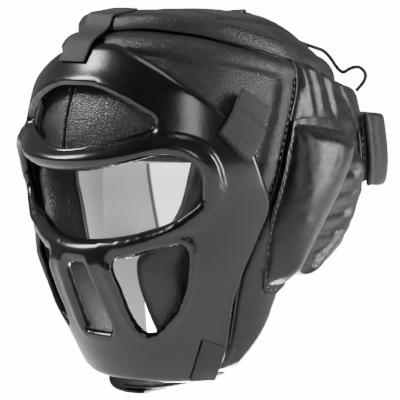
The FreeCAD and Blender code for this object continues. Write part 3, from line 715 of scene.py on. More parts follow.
for label, side in (("left", 1), ("right", -1)):
    for part, panel in (("front", front_panel(side)), ("cheek", cheek), ("jaw", jaw), ("rear", rear)):
        bm = block_grid(24, 24, 1)
        shape(bm, lining_place(panel))
        if side < 0:
            flip_sides(bm)
        # The rear linings take the lining whose near-white back part is painted light for the backdrop seen
        # through the ear hole.
        cloth = REAR_LINING_PAINTED_LIGHT if part == "rear" else LINING
        obj = to_object("%s_lining_pad_%s" % (part, label), bm, cloth, "headgear", 1)
        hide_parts("%s_lining_%s" % (part, label))
print("linings made")

# %% [markdown]
# The ear cup is the roundest pad. It stands on the side and rear panels, full in the middle, and its seam
# pulls it down all round. Its outline is a long rounded shape, so the corners of the block are drawn in.

# %% Ear cups
EAR_BULGE = 15 * MM
EAR_ROOT = 1.8 * MM
ear_front = smooth([(height(0.38), 88), (height(0.1), 84), (height(-0.25), 79), (height(-0.55), 82)])
ear_rear = smooth([(height(0.38), 120), (height(0.1), 113), (height(-0.25), 102), (height(-0.55), 93)])
ear_top = smooth([(0.0, height(0.40)), (1.0, height(0.28))])
ear_cup = PadPanel(ear_front, ear_rear, level(height(-0.56)), ear_top, EAR_BULGE)


def round_corners(u, v, amount=0.10):
    """Draw a square of shares in at its corners."""
    p, q = 2 * u - 1, 2 * v - 1
    p2, q2 = p * (1 - amount * q * q), q * (1 - amount * p * p)
    return (p2 + 1) / 2, (q2 + 1) / 2


EAR_FLANGE = 0.07
ridge_at = smooth([(0.0, 0.50), (0.4, 0.53), (0.8, 0.56), (1.0, 0.58)])


def ear_height(u, v):
    """Share of the full bulge: a flat sewn flange, a long front slope, a rounded ridge, a steep back."""
    across = (u - EAR_FLANGE) / (1 - 2 * EAR_FLANGE)
    up = (v - EAR_FLANGE) / (1 - 2 * EAR_FLANGE)
    if not (0 < across < 1 and 0 < up < 1):
        return 0.0
    ridge = ridge_at(v)
    slope = across / ridge if across < ridge else (1 - across) / (1 - ridge)
    front_rise = math.sin(math.pi / 2 * min(1.0, slope)) ** 0.62
    ends = min(1.0, min(up / 0.16, (1 - up) / 0.10))
    return front_rise * math.sin(math.pi / 2 * ends) ** 0.6


def ear_place(u, v, w):
    u, v = crowd(u), crowd(v)
    u, v = round_corners(u, v)
    angle, z = ear_cup.where(u, v)
    front, rear_d, low, _ = ear_cup.distances(u, v)
    skin = EAR_ROOT + 2.0 * MM + (EAR_BULGE + 1.5 * MM) * ear_height(u, v)
    skin += pucker(z, front, 8 * MM, 0.8 * MM) + pucker(z, rear_d, 8 * MM, 0.9 * MM)
    skin += pucker(angle * MM, low, 8 * MM, 0.9 * MM)
    outer = pad(angle, z, skin)
    outer += creases(outer, 0.6 * MM, 24 * MM) * (outer - Vector((0, 0, z))).normalized()
    return pad(angle, z, EAR_ROOT * 0.3).lerp(outer, w)


for label, side in (("left", 1), ("right", -1)):
    bm = block_grid(40, 52, 4)
    shape(bm, ear_place)
    if side < 0:
        flip_sides(bm)
    obj = to_object("ear_pad_" + label, bm, SMOOTH_LEATHER, "headgear", 1)
    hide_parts("ear_cover_" + label, "ear_foam_" + label)
print("ear cups made")


# %% [markdown]
# The crown is a low dome of padding that lies on the top edges of the side panels. Two flaps of it meet under
# a lace, so a channel runs from the middle to the back. A square of shares is spread over a disc, which has
# no pole to pinch.

# %% Crown
CROWN_INSET = 7 * MM
CROWN_SEAT = 4.0 * MM
CROWN_EDGE = 4 * MM
CROWN_FALL = 2.4
CROWN_THICKNESS = 17 * MM
LEDGE = 25.1 * MM


def rim_height(angle):
    angle = abs(angle)
    join = side_seam(height(0.69))
    if angle <= join:
        return front_top(angle / join)
    return rear_top(min(1.0, (angle - join) / (180 - REAR_GAP - join)))


def rim_point(angle):
    return pad(angle, rim_height(angle), -CROWN_INSET)


def disc_place(u, v):
    p, q = 2 * u - 1, 2 * v - 1
    x, y = p * math.sqrt(1 - q * q / 2), q * math.sqrt(1 - p * p / 2)
    return min(1.0, math.hypot(x, y)), math.degrees(math.atan2(x, -y))


def crown_surface(x, y):
    angle = math.degrees(math.atan2(x, -(y - CENTRE_Y)))
    rim = rim_point(angle)
    share = min(1.0, math.hypot(x, y - CENTRE_Y) / math.hypot(rim.x, rim.y - CENTRE_Y))
    rise = (1 - share ** CROWN_FALL) * (TOP_HEIGHT - rim.z - CROWN_SEAT - CROWN_EDGE)
    return rim.z + CROWN_SEAT + CROWN_EDGE + rise


def channel(x, y):
    """How much the crown dips under the lace and along its sewn lines."""
    along = ease((y - 30 * MM) / (14 * MM))
    middle = -1.8 * MM * math.exp(-(x / (5 * MM)) ** 2) * along
    middle += 2.4 * MM * math.exp(-((abs(x) - 31 * MM) / (11 * MM)) ** 2) * along
    sides = -2.2 * MM * math.exp(-((abs(x) - 48 * MM) / (2.6 * MM)) ** 2)
    inside = ease((52 * MM - abs(x)) / (8 * MM))
    front_line = -1.8 * MM * math.exp(-((y + 22 * MM) / (2.6 * MM)) ** 2) * inside
    return middle + sides + front_line


RIM_ROLL = 12 * MM


def crown_place(u, v, w):
    share, angle = disc_place(u, v)
    share = mix(share, math.sin(share * math.pi / 2), 0.6)
    rim = rim_point(angle)
    radius = math.hypot(rim.x, rim.y - CENTRE_Y)
    x, y = rim.x * share, CENTRE_Y + (rim.y - CENTRE_Y) * share
    from_rim = (1 - share) * radius
    top = crown_surface(x, y) + channel(x, y) * ease((1 - share) / 0.12)
    top += roll(from_rim, 0, RIM_ROLL, 2.5 * MM)
    top -= 2.5 * MM * math.exp(-((from_rim - RIM_ROLL) / (2 * MM)) ** 2)
    top -= fall(from_rim, 5 * MM) * 0.8
    back = ease((abs(angle) - 92) / 22)
    swell = roll(from_rim, -RIM_ROLL, 2 * RIM_ROLL, 4.0 * MM) * (1 - back) - 8 * MM * back * share
    top -= back * 3.0 * MM * ease((share - 0.6) / 0.4)
    x, y = x * (1 + swell / radius), CENTRE_Y + (y - CENTRE_Y) * (1 + swell / radius)
    top += creases(Vector((x, y, top)), 0.6 * MM)
    inner = 1 - LEDGE / radius
    seat = rim.z + mix(CROWN_SEAT, 0.4 * MM, ease((share - 0.9) / 0.1))
    under = mix(TOP_HEIGHT - CROWN_THICKNESS, seat, ease(share / inner))
    return Vector((x, y, mix(under, top, w)))


bm = block_grid(56, 56, 3)
shape(bm, crown_place)
bmesh.ops.recalc_face_normals(bm, faces=bm.faces)
crown = to_object("crown_pad", bm, LEATHER, "headgear", 1)
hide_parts("crown_cover", "crown_foam")


def ring(name, place, radius, material, count=72):
    """A closed round welt through places given by angle."""
    curve = bpy.data.curves.new(name, "CURVE")
    curve.dimensions = "3D"
    curve.bevel_depth = radius
    curve.bevel_resolution = 3
    spline = curve.splines.new("NURBS")
    spline.points.add(count - 1)
    for i, point in enumerate(spline.points):
        point.co = (*place(-180 + 360 * i / count), 1.0)
    spline.order_u = 3
    spline.use_cyclic_u = True
    holder = bpy.data.objects.new(name + "_curve", curve)
    bm = bmesh.new()
    bm.from_mesh(holder.to_mesh())
    bpy.data.objects.remove(holder)
    return to_object(name, bm, material, "headgear")


def welt_place(angle):
    inset = mix(9 * MM, 16 * MM, ease((abs(angle) - 92) / 22))
    return pad(angle, rim_height(angle) + 1.5 * MM, -inset)


ring("crown_welt", welt_place, 4.5 * MM, SMOOTH_LEATHER)


def crown_lining_place(u, v, w):
    share, angle = disc_place(u, v)
    rim = rim_point(angle)
    radius = math.hypot(rim.x, rim.y - CENTRE_Y)
    inner = (1 - LEDGE / radius) * 0.9
    z = mix(TOP_HEIGHT - CROWN_THICKNESS, rim.z + CROWN_SEAT, ease(share * 0.9)) - 2.0 * MM
    z -= LINING_THICKNESS * (1 - w)
    return Vector((rim.x * share * inner, CENTRE_Y + (rim.y - CENTRE_Y) * share * inner, z))


bm = block_grid(24, 24, 1)
shape(bm, crown_lining_place)
bmesh.ops.recalc_face_normals(bm, faces=bm.faces)
obj = to_object("crown_lining_pad", bm, LINING, "headgear", 1)
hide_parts("crown_lining")
print("crown made")

# %% [markdown]
# The face cage is one plastic moulding: a shell round the face with openings between thick rounded bars.
# It could be carved from a solid, but Booleans leave ragged shading. Instead a flat sheet of cells is laid
# out in angle and height, the cells inside each opening are removed, the ragged edge is drawn onto the
# opening's outline, and the sheet is then bent round the face and given its thickness.

# %% Outlines of the cage
CAGE_BOTTOM = height(-0.96)
cage_edge = smooth([(height(0.34), 64), (height(0.185), 70.5), (height(0.006), 74.5), (height(-0.127), 77),
                    (height(-0.25), 74), (height(-0.37), 71), (height(-0.5), 68), (height(-0.62), 66.5),
                    (height(-0.78), 66.5), (height(-0.96), 63.5)])
cage_top = smooth([(0.0, height(0.80)), (0.15, height(0.80)), (0.36, height(0.75)), (0.55, height(0.665)),
                   (0.68, height(0.585)), (0.81, height(0.50)), (0.93, height(0.40)), (1.0, height(0.34))])
FOREHEAD_WINDOW = [(0, 0.553), (10, 0.545), (19, 0.497), (25, 0.453), (30, 0.40), (33.5, 0.36), (33.5, 0.315),
                   (25, 0.27), (18, 0.239), (10, 0.21), (0, 0.188)]
EYE_WINDOW = [(0, 0.057), (13, 0.066), (23, 0.097), (31, 0.132), (37, 0.16), (41.5, 0.168), (46, 0.155),
              (50, 0.112), (52.3, 0.05), (52.3, -0.03), (50, -0.095), (44, -0.15), (37, -0.193),
              (30, -0.22), (23, -0.243), (12.5, -0.263), (0, -0.273)]
CHEEK_WINDOW = [(17.7, -0.37), (23, -0.352), (31, -0.325), (38, -0.302), (43.5, -0.285), (46.5, -0.32),
                (47.7, -0.39), (46.7, -0.484), (43.6, -0.571), (38.6, -0.64), (33.7, -0.686),
                (28.8, -0.705), (24.6, -0.689), (21.3, -0.626), (19.5, -0.5)]
MOUTH_TOP, MOUTH_BOTTOM = height(-0.385), height(-0.715)
MOUTH_HALF_TOP, MOUTH_HALF_BOTTOM = 10.5 * MM, 14.5 * MM
MM_PER_DEGREE = 1.9 * MM


def flat(angle, z):
    """A place on the unrolled cage, in metres."""
    return Vector((angle * MM_PER_DEGREE, z, 0.0))


def closed_curve(points, steps=8):
    """A smooth closed line through points on the unrolled cage."""
    count = len(points)
    line = []
    for i in range(count):
        a, b, c, d = (points[(i + k) % count] for k in (-1, 0, 1, 2))
        for step in range(steps):
            t = step / steps
            line.append(0.5 * ((2 * b) + (c - a) * t + (2 * a - 5 * b + 4 * c - d) * t * t
                               + (3 * b - a - 3 * c + d) * t ** 3))
    return line


def both_halves(outline):
    right = [flat(a, height(f)) for a, f in outline]
    return closed_curve(right + [Vector((-p.x, p.y, 0)) for p in reversed(right[1:-1])])


def mouth_outline():
    """The mouth opening: four straight sides, with its corners rounded by extra points."""
    to_angle = lambda x, z: math.degrees(math.asin(x / cage(90, z).x))
    corners = [(-MOUTH_HALF_TOP, MOUTH_TOP), (MOUTH_HALF_TOP, MOUTH_TOP),
               (MOUTH_HALF_BOTTOM, MOUTH_BOTTOM), (-MOUTH_HALF_BOTTOM, MOUTH_BOTTOM)]
    line = []
    for i, (x, z) in enumerate(corners):
        here = Vector((x, z, 0))
        before, after = Vector((*corners[i - 1], 0)), Vector((*corners[(i + 1) % 4], 0))
        start = here + (before - here).normalized() * 5 * MM
        end = here + (after - here).normalized() * 5 * MM
        for t in (0.0, 0.25, 0.5, 0.75, 1.0):
            line.append((1 - t) ** 2 * start + 2 * t * (1 - t) * here + t * t * end)
        line += [end.lerp(after + (here - after).normalized() * 5 * MM, t) for t in (0.2, 0.4, 0.6, 0.8)]
    return [flat(to_angle(p.x, p.y), p.y) for p in line]


cheek_line = closed_curve([flat(a, height(f)) for a, f in CHEEK_WINDOW])
WINDOWS = {"forehead": both_halves(FOREHEAD_WINDOW), "eyes": both_halves(EYE_WINDOW),
           "mouth": mouth_outline(),
           "cheek_left": cheek_line, "cheek_right": [Vector((-p.x, p.y, 0)) for p in reversed(cheek_line)]}


def inside(point, line):
    crossings = False
    for a, b in zip(line, line[1:] + line[:1]):
        if (a.y > point.y) != (b.y > point.y) and point.x < a.x + (b.x - a.x) * (point.y - a.y) / (b.y - a.y):
            crossings = not crossings
    return crossings


def nearest_on(point, line):
    best, best_length = None, 1e9
    for a, b in zip(line, line[1:] + line[:1]):
        side = b - a
        t = min(1.0, max(0.0, (point - a).dot(side) / max(side.length_squared, 1e-12)))
        place = a + side * t
        length = (place - point).length
        if length < best_length:
            best, best_length = place, length
    return best, best_length


# %% The cage's sheet of cells
CAGE_COLUMNS, CAGE_ROWS = 124, 92
cage_mesh = bmesh.new()
bmesh.ops.create_grid(cage_mesh, x_segments=CAGE_COLUMNS, y_segments=CAGE_ROWS, size=0.5)
for vert in cage_mesh.verts:
    s, v = 2 * vert.co.x, vert.co.y + 0.5
    z = mix(CAGE_BOTTOM, cage_top(abs(s)), v)
    vert.co = flat(s * cage_edge(z), z)
opened = [f for f in cage_mesh.faces
          if any(inside(f.calc_center_median(), line) for line in WINDOWS.values())]
outer_edge = {v for v in cage_mesh.verts if v.is_boundary}
bmesh.ops.delete(cage_mesh, geom=opened, context="FACES")
window_edge = [v for v in cage_mesh.verts if v.is_boundary and v not in outer_edge]
for vert in window_edge:
    place = min((nearest_on(vert.co, line) for line in WINDOWS.values()), key=lambda found: found[1])[0]
    vert.co = place
bmesh.ops.remove_doubles(cage_mesh, verts=window_edge, dist=0.9 * MM)
window_edge = [v for v in cage_mesh.verts if v.is_boundary and v not in outer_edge]
near_edge = {e.other_vert(v) for v in window_edge for e in v.link_edges} - set(window_edge) - outer_edge
ring_after = {e.other_vert(v) for v in near_edge for e in v.link_edges} - set(window_edge) - outer_edge
for _ in range(6):
    bmesh.ops.smooth_vert(cage_mesh, verts=list(near_edge | ring_after), factor=0.5,
                          use_axis_x=True, use_axis_y=True)
print("cage cells", len(cage_mesh.faces), "window edge points", len(window_edge))

# %% Reliefs of the cage: rounded bars, raised lips, thick bars where nothing is behind
EDGE_ROUND = 4.5 * MM
LIP_RISE = 2.0 * MM
EYE_RING = 2.8 * MM
BAR_ROUND = 8.0 * MM
BAR_DEPTH = 9.0 * MM
SHELL_DEPTH = 4.5 * MM


def window_distance(point):
    found = [(nearest_on(point, line)[1], name) for name, line in WINDOWS.items()]
    return min(found)


def bar_share(point):
    """1 on the two tubular cross bars, 0 elsewhere."""
    front = 1 - ease((abs(point.x) / MM_PER_DEGREE - 34) / 14)
    above = ease((point.y - height(-0.40)) / (6 * MM))
    below = 1 - ease((point.y - height(0.33)) / (20 * MM))
    return front * above * below


def cage_relief(point, to_window, window, to_rim):
    """How proud the outside stands, in metres."""
    tube = bar_share(point)
    rounding = mix(EDGE_ROUND, BAR_ROUND, tube)
    rise = -fall(to_window, rounding) * mix(0.75, 0.9, tube) - fall(to_rim, 3.5 * MM) * 0.8
    side = ease((abs(point.x) / MM_PER_DEGREE - 30) / 12)
    if window == "eyes":
        rise += side * EYE_RING * (1 - ease((to_window - 11 * MM) / (3.0 * MM)))
    elif window.startswith("cheek"):
        rise += side * LIP_RISE * (1 - ease((to_window - 3.0 * MM) / (3.0 * MM)))
    return rise + (1 - tube) * LIP_RISE * 0.3 * math.exp(-((to_window - 5.0 * MM) / (3.0 * MM)) ** 2)


def cage_depth(angle, z):
    """Thickness: bars are deep where no padding lies behind them."""
    free = ease((face_opening(z) + 2 - abs(angle)) / 5.0) if z < BROW else 0.0
    gap = (cage(angle, z) - pad(angle, z)).length
    return mix(min(SHELL_DEPTH, max(2.5 * MM, gap - 1.2 * MM)), BAR_DEPTH, free)


facts = {}
for vert in cage_mesh.verts:
    to_window, window = window_distance(vert.co)
    angle = vert.co.x / MM_PER_DEGREE
    z = vert.co.y
    side = (cage_edge(z) - abs(angle)) * MM_PER_DEGREE
    share = min(1.0, abs(angle) / cage_edge(z))
    to_rim = min(side, cage_top(share) - z, z - CAGE_BOTTOM)
    facts[vert.index] = (angle, z, to_window, window, max(0.0, to_rim))

inner_layer = cage_mesh.verts.layers.int.new("inner")
source_layer = cage_mesh.verts.layers.int.new("source")
for vert in cage_mesh.verts:
    vert[source_layer] = vert.index
    vert[inner_layer] = 1
cage_mesh.verts.ensure_lookup_table()
raised = bmesh.ops.extrude_face_region(cage_mesh, geom=cage_mesh.faces[:], use_keep_orig=True)
for item in raised["geom"]:
    if isinstance(item, bmesh.types.BMVert):
        item[inner_layer] = 0
for vert in cage_mesh.verts:
    angle, z, to_window, window, to_rim = facts[vert[source_layer]]
    if vert[inner_layer]:
        inset = -cage_depth(angle, z)
        vert.co = cage(angle, z, inset + fall(to_window, 3 * MM) * 0.5)
    else:
        vert.co = cage(angle, z, cage_relief(flat(angle, z), to_window, window, to_rim))
bmesh.ops.recalc_face_normals(cage_mesh, faces=cage_mesh.faces)
open_edges = sum(1 for e in cage_mesh.edges if len(e.link_faces) != 2)
face_cage = to_object("face_cage_moulding", cage_mesh, PLASTIC, "cage", 1)
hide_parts("face_cage")
print("cage open edges", open_edges)

# %% [markdown]
# Straps are woven webbing: thin, flat and slightly rounded at their edges. They are modelled directly, as a
# thin block swept along the strap's path, because a cloth simulation would only blur such flat bands.

# %% Straps
STRAP_THICKNESS = 1.8 * MM
PATCH_THICKNESS = 1.0 * MM
FIT = 0.5 * MM
STRAP_STEP = 0.25


class Strap:
    def __init__(self, slot, far, cage_share, lift=0.6 * MM):
        self.slot, self.far, self.cage_share, self.lift = slot, far, cage_share, lift

    def where(self, u, v):
        near = [mix(self.slot[0][i], self.slot[1][i], v) for i in (0, 1)]
        away = [mix(self.far[0][i], self.far[1][i], v) for i in (0, 1)]
        return mix(near[0], away[0], u), mix(near[1], away[1], u)

    def place(self, u, v, w):
        angle, z = self.where(u, v)
        step = ease((u - self.cage_share) / STRAP_STEP)
        dive = -5.0 * MM * (1 - ease(u / 0.10))
        on_cage = cage(angle, z, self.lift + w * STRAP_THICKNESS + dive)
        on_pad = pad(angle, z, PATCH_THICKNESS + 2 * FIT + self.lift + w * STRAP_THICKNESS)
        return on_cage.lerp(on_pad, step)


side_strap = Strap([(56.0, height(0.272)), (67.3, height(0.083))],
                   [(66.7, height(0.545)), (78.2, height(0.432))], 0.52)
lower_strap = Strap([(53.3, height(-0.725)), (65.0, height(-0.775))],
                    [(47.5, height(-0.95)), (62.5, height(-0.95))], 2.0)


def strap_piece(name, place, body, nodes, mirror, material=None, columns=40, rows=12):
    bm = block_grid(columns, rows, 1)
    shape(bm, place)
    if mirror:
        flip_sides(bm)
    bmesh.ops.recalc_face_normals(bm, faces=bm.faces)
    obj = to_object(name, bm, material or WEBBING, body, 1)
    if nodes:
        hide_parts(*nodes)
    return obj


for label, side in (("left", 1), ("right", -1)):
    for part, strap in (("side", side_strap), ("lower", lower_strap)):
        strap_piece("%s_webbing_%s" % (part, label), strap.place, "%s_strap_%s" % (part, label),
                    ["%s_strap_%s" % (part, label)], side < 0)

# %% Top strap
TOP_STRAP_WIDTH = 29 * MM
TOP_STRAP_X = -12 * MM
TOP_SLOT = height(0.69)
TOP_STRAP_END = -56 * MM
TOP_LIFT = 0.8 * MM
TOP_BRIDGE = 3.0 * MM


def on_crown(y, off):
    return crown_surface(0, y) + 2 * PATCH_THICKNESS + off


def top_curves(off):
    slot = cage(0, TOP_SLOT, TOP_LIFT + off)
    edge = cage(0, cage_top(0.0), TOP_LIFT + off)
    rim_y = rim_point(0).y
    settle = rim_y + 14 * MM
    path = [(0.0, slot.y, slot.z), (0.24, edge.y + 0.5 * MM, edge.z + 1 * MM),
            (0.5, rim_y - CROWN_INSET + 1 * MM, rim_height(0) + TOP_BRIDGE + off),
            (0.62, rim_y - 1 * MM, rim_height(0) + CROWN_SEAT + CROWN_EDGE + TOP_BRIDGE + off),
            (0.78, settle, on_crown(settle, off)), (1.0, TOP_STRAP_END, on_crown(TOP_STRAP_END, off))]
    return smooth([(p[0], p[1]) for p in path]), smooth([(p[0], p[2]) for p in path])


TOP_UNDER, TOP_OVER = top_curves(0.0), top_curves(STRAP_THICKNESS)


def top_place(u, v, w):
    y = mix(TOP_UNDER[0](u), TOP_OVER[0](u), w)
    z = mix(TOP_UNDER[1](u), TOP_OVER[1](u), w)
    x = TOP_STRAP_X + (v - 0.5) * TOP_STRAP_WIDTH
    half_width = CAGE_HALF_WIDTH * cage_width_at(0.69)
    turn = (CAGE_FRONT * cage_front_at(0.69) + CENTRE_Y) * (1 - math.sqrt(1 - (x / half_width) ** 2))
    bent = 1 - ease((u - 0.55) / 0.3)
    return Vector((x, y + turn * bent, z + (crown_surface(x, y) - crown_surface(0, y)) * (1 - bent)))


strap_piece("top_webbing", top_place, "top_strap", ["top_strap"], False, columns=56)

# %% Rear strap and chin strap
REAR_STRAP_WIDTH = 54 * MM
REAR_STRAP_THICKNESS = 5 * MM
REAR_STRAP_STANDOFF = 16.5 * MM
REAR_STRAP_LAP = 5.0
REAR_STRAP_FULLNESS = 0.6
REAR_STRAP_MIDDLE = height(0.10)
REAR_STRAP_FIXED, REAR_STRAP_FREE = 206.0, 130.0


REAR_STRAP_SETTLE = 3.5 * MM


def rear_place(u, v, w):
    angle = mix(REAR_STRAP_FREE, REAR_STRAP_FIXED, u)
    bowed = REAR_STRAP_FIXED - REAR_STRAP_FREE - 2 * REAR_STRAP_LAP
    share = (angle - REAR_STRAP_FREE - REAR_STRAP_LAP) / bowed
    bow = math.sin(math.pi * min(1.0, max(0.0, share))) ** REAR_STRAP_FULLNESS * REAR_STRAP_STANDOFF
    round_off = fall(min(v, 1 - v) * REAR_STRAP_WIDTH, 2.4 * MM) * 0.8
    off = PATCH_THICKNESS + 3 * FIT + bow + mix(round_off, REAR_STRAP_THICKNESS - round_off, w)
    sag = REAR_STRAP_SETTLE * bow / REAR_STRAP_STANDOFF
    return pad(angle, REAR_STRAP_MIDDLE - sag + (v - 0.5) * REAR_STRAP_WIDTH, off)


strap_piece("rear_strap_leather", rear_place, "rear_strap", ["rear_strap"], False, LEATHER, 48, 24)

CHIN_STRAP_WIDTH = 26 * MM
CHIN_STRAP_THICKNESS = 3 * MM
CHIN_CENTRE_Y = -55 * MM
CHIN_DROP = 8 * MM
CHIN_ROOT_Y = -24 * MM
CHIN_LAP, CHIN_TAB_END = 0.32, -0.08


def chin_middle(share):
    root = pad(75, height(-0.90)).x - PAD_THICKNESS / 2
    bow = 1 - share * share
    z = height(-0.93) - 1 * MM - CHIN_DROP * max(0.0, bow) ** 0.7
    return Vector((root * share, mix(CHIN_ROOT_Y, CHIN_CENTRE_Y, bow), z))


def chin_place(start, end, depth):
    def point(u, v, w):
        middle = chin_middle(mix(start, end, u))
        round_off = fall(min(v, 1 - v) * CHIN_STRAP_WIDTH, 1.5 * MM) * 0.7
        drop = depth + mix(CHIN_STRAP_THICKNESS - round_off, round_off, w)
        return middle + Vector((0, (v - 0.5) * CHIN_STRAP_WIDTH, -drop))
    return point


strap_piece("chin_strap_leather", chin_place(CHIN_LAP, -1.0, CHIN_STRAP_THICKNESS + FIT), "chin_strap",
            ["chin_strap"], False, LEATHER, 36, 14)
strap_piece("chin_tab_leather", chin_place(1.0, CHIN_TAB_END, 0.0), "headgear", ["chin_tab"], False, LEATHER,
            36, 14)
print("straps made")


# %% Loop patches
def patch_place(strap, start, end=0.97):
    def point(u, v, w):
        angle, z = strap.where(mix(start, end, u), mix(0.06, 0.94, v))
        return pad(angle, z, FIT + w * PATCH_THICKNESS)
    return point


for label, side in (("left", 1), ("right", -1)):
    strap_piece("side_loop_" + label, patch_place(side_strap, 0.80), "headgear", ["side_loop_patch_" + label],
                side < 0, HOOK_LOOP, 12, 12)


def top_patch_place(u, v, w):
    x = TOP_STRAP_X + (v - 0.5) * (TOP_STRAP_WIDTH - 3 * MM)
    y = mix(TOP_STRAP_END - 12 * MM, TOP_STRAP_END - 1 * MM, u)
    return Vector((x, y, crown_surface(x, y) + 2 * FIT + w * PATCH_THICKNESS))


strap_piece("top_loop", top_patch_place, "headgear", ["top_loop_patch"], False, HOOK_LOOP, 12, 12)


def rear_patch_place(start, end):
    def point(u, v, w):
        z = REAR_STRAP_MIDDLE + (v - 0.5) * (REAR_STRAP_WIDTH - 6 * MM)
        return pad(mix(start, end, u), z, FIT + w * PATCH_THICKNESS)
    return point


hook_place = rear_patch_place(REAR_STRAP_FREE + 0.5, REAR_STRAP_FREE + REAR_STRAP_LAP)
anchor_place = rear_patch_place(REAR_STRAP_FIXED - REAR_STRAP_LAP, REAR_STRAP_FIXED - 0.5)
strap_piece("rear_hook", hook_place, "headgear", ["rear_hook_patch"], False, HOOK_LOOP, 12, 16)
strap_piece("rear_anchor", anchor_place, "headgear", ["rear_strap_anchor"], False, LEATHER, 12, 16)

# %% [markdown]
# The tongues inside the cage's slots and the metal eyelets need no softening, so the frame's own meshes stay
# and only get a material.

# %% CAD pieces that keep their shape
for node, material in (("strap_tongues", WEBBING), ("lace_eyelets", METAL)):
    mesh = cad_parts[node].data
    mesh.materials.clear()
    mesh.materials.append(material)
print("carried over", ["strap_tongues", "lace_eyelets"])

# %% [markdown]
# Thread shows as a row of short raised stitches beside each seam. One small rounded grain is made for each
# stitch and laid along the skin, so the rows catch the light as real sewing does.

# %% Stitches
STITCH_LENGTH = 3.4 * MM
STITCH_PITCH = 5.0 * MM
STITCH_WIDTH = 0.9 * MM


def stitch_row(bm, points, outward):
    """Lay stitches along a line of places; outward gives the skin's direction at a place."""
    lengths = [0.0]
    for a, b in zip(points, points[1:]):
        lengths.append(lengths[-1] + (b - a).length)
    along = 0.5 * STITCH_PITCH
    while along < lengths[-1] - 0.5 * STITCH_PITCH:
        i = min(bisect.bisect_right(lengths, along) - 1, len(points) - 2)
        t = (along - lengths[i]) / max(lengths[i + 1] - lengths[i], 1e-9)
        place = points[i].lerp(points[i + 1], t)
        forward = (points[i + 1] - points[i]).normalized()
        up = outward(place)
        side = up.cross(forward).normalized()
        up = forward.cross(side).normalized()
        matrix = Matrix((
            (forward.x * STITCH_LENGTH, side.x * STITCH_WIDTH, up.x * STITCH_WIDTH * 0.7, place.x),
            (forward.y * STITCH_LENGTH, side.y * STITCH_WIDTH, up.y * STITCH_WIDTH * 0.7, place.y),
            (forward.z * STITCH_LENGTH, side.z * STITCH_WIDTH, up.z * STITCH_WIDTH * 0.7, place.z),
            (0, 0, 0, 1)))
        bmesh.ops.create_uvsphere(bm, u_segments=6, v_segments=4, radius=0.5, matrix=matrix)
        along += STITCH_PITCH


def from_axis(place):
    return (place - Vector((0, CENTRE_Y, place.z * 0.7))).normalized()


def panel_line(panel, relief, line, edge, count=60, lift=0.2 * MM):
    """A line of places on a panel's skin: line gives shares across and up."""
    places = []
    for i in range(count + 1):
        u, v = line(i / count)
        angle, z = panel.where(u, v)
        edges = panel.distances(u, v)
        places.append(pad(angle, z, relief(angle, z, edges) - panel.drop(angle, edges, edge) + lift))
    return places


def ear_line(line, count=60):
    places = []
    for i in range(count + 1):
        u, v = line(i / count)
        angle, z = ear_cup.where(*round_corners(u, v))
        places.append(pad(angle, z, EAR_ROOT + 2.3 * MM))
    return places


def rear_line(angle_at, low_share, high_share, lift, count=50):
    """A line on the rear panel: angles by height, between two heights."""
    places = []
    for i in range(count + 1):
        z = height(mix(low_share, high_share, i / count))
        places.append(pad(angle_at(z), z, lift))
    return places


for label, side in (("left", 1), ("right", -1)):
    bm = bmesh.new()
    panel = front_panel(side)
    rows = [panel_line(panel, front_relief, lambda t: (0.985, t * 0.98), 5 * MM),
            panel_line(cheek, cheek_relief, lambda t: (0.985, 0.02 + t * 0.98), 5 * MM),
            panel_line(panel, front_relief, lambda t: (0.022, t), 5 * MM),
            ear_line(lambda t: (0.035, 0.04 + 0.9 * t)), ear_line(lambda t: (0.06 + 0.8 * t, 0.035)),
            rear_line(lambda z: ear_seam(z) + 1.5, -0.34, 0.2, 1.0 * MM)]
    for row in rows:
        stitch_row(bm, row, from_axis)
    if side < 0:
        flip_sides(bm)
    to_object("seam_stitches_" + label, bm, THREAD, "headgear")
print("stitches made")


# %% Piping along the seams
def piping(name, places, radius, material, mirror):
    """A thin sewn bead: a round section carried along a line of places by a spline's bevel, made a mesh."""
    curve = bpy.data.curves.new(name, "CURVE")
    curve.dimensions = "3D"
    curve.bevel_depth = radius
    curve.bevel_resolution = 3
    curve.use_fill_caps = True
    spline = curve.splines.new("NURBS")
    spline.points.add(len(places) - 1)
    for point, place in zip(spline.points, places):
        point.co = (-place.x if mirror else place.x, place.y, place.z, 1.0)
    spline.order_u = 3
    spline.use_endpoint_u = True
    holder = bpy.data.objects.new(name + "_curve", curve)
    bm = bmesh.new()
    bm.from_mesh(holder.to_mesh())
    bpy.data.objects.remove(holder)
    return to_object(name, bm, material, "headgear")


BEAD = 1.3 * MM


def bead_line(low, high, angle_at, off, count=28):
    levels = [mix(low, high, i / count) for i in range(count + 1)]
    return [pad(angle_at(z), z, off) for z in levels]


for label, side in (("left", 1), ("right", -1)):
    mirror = side < 0
    side_line = bead_line(height(-0.78), height(0.66), lambda z: side_seam(z) + 0.6, -2.4 * MM)
    ear_back_line = bead_line(height(-0.36), height(0.22), lambda z: ear_seam(z) + 0.4, -0.6 * MM)
    piping("side_bead_" + label, side_line, BEAD, SMOOTH_LEATHER, mirror)
    piping("rear_bead_" + label, ear_back_line, BEAD, SMOOTH_LEATHER, mirror)
print("piping made")

# %% [markdown]
# The lace is one soft cord about 3 mm thick. It zigzags through the eyelets of the crown, runs to the left
# edge, and makes a small loop that stands out behind. A spline with a round bevel carries it, because its
# points can then repeat the route that was chosen for the frame.

# %% Lace
LACE_DIAMETER = 3 * MM
EYELET_HALF_GAP = 15 * MM
EYELET_PLACES = [44 * MM, 60 * MM, 76 * MM, 92 * MM]
LACE_LIFT = LACE_DIAMETER / 2 + 0.8 * MM
LACE_LOOP = [(50.0, 112.0, 65.0), (57.0, 114.0, 70.5), (65.5, 116.0, 71.5), (70.5, 118.0, 62.5),
             (62.8, 113.2, 53.5)]


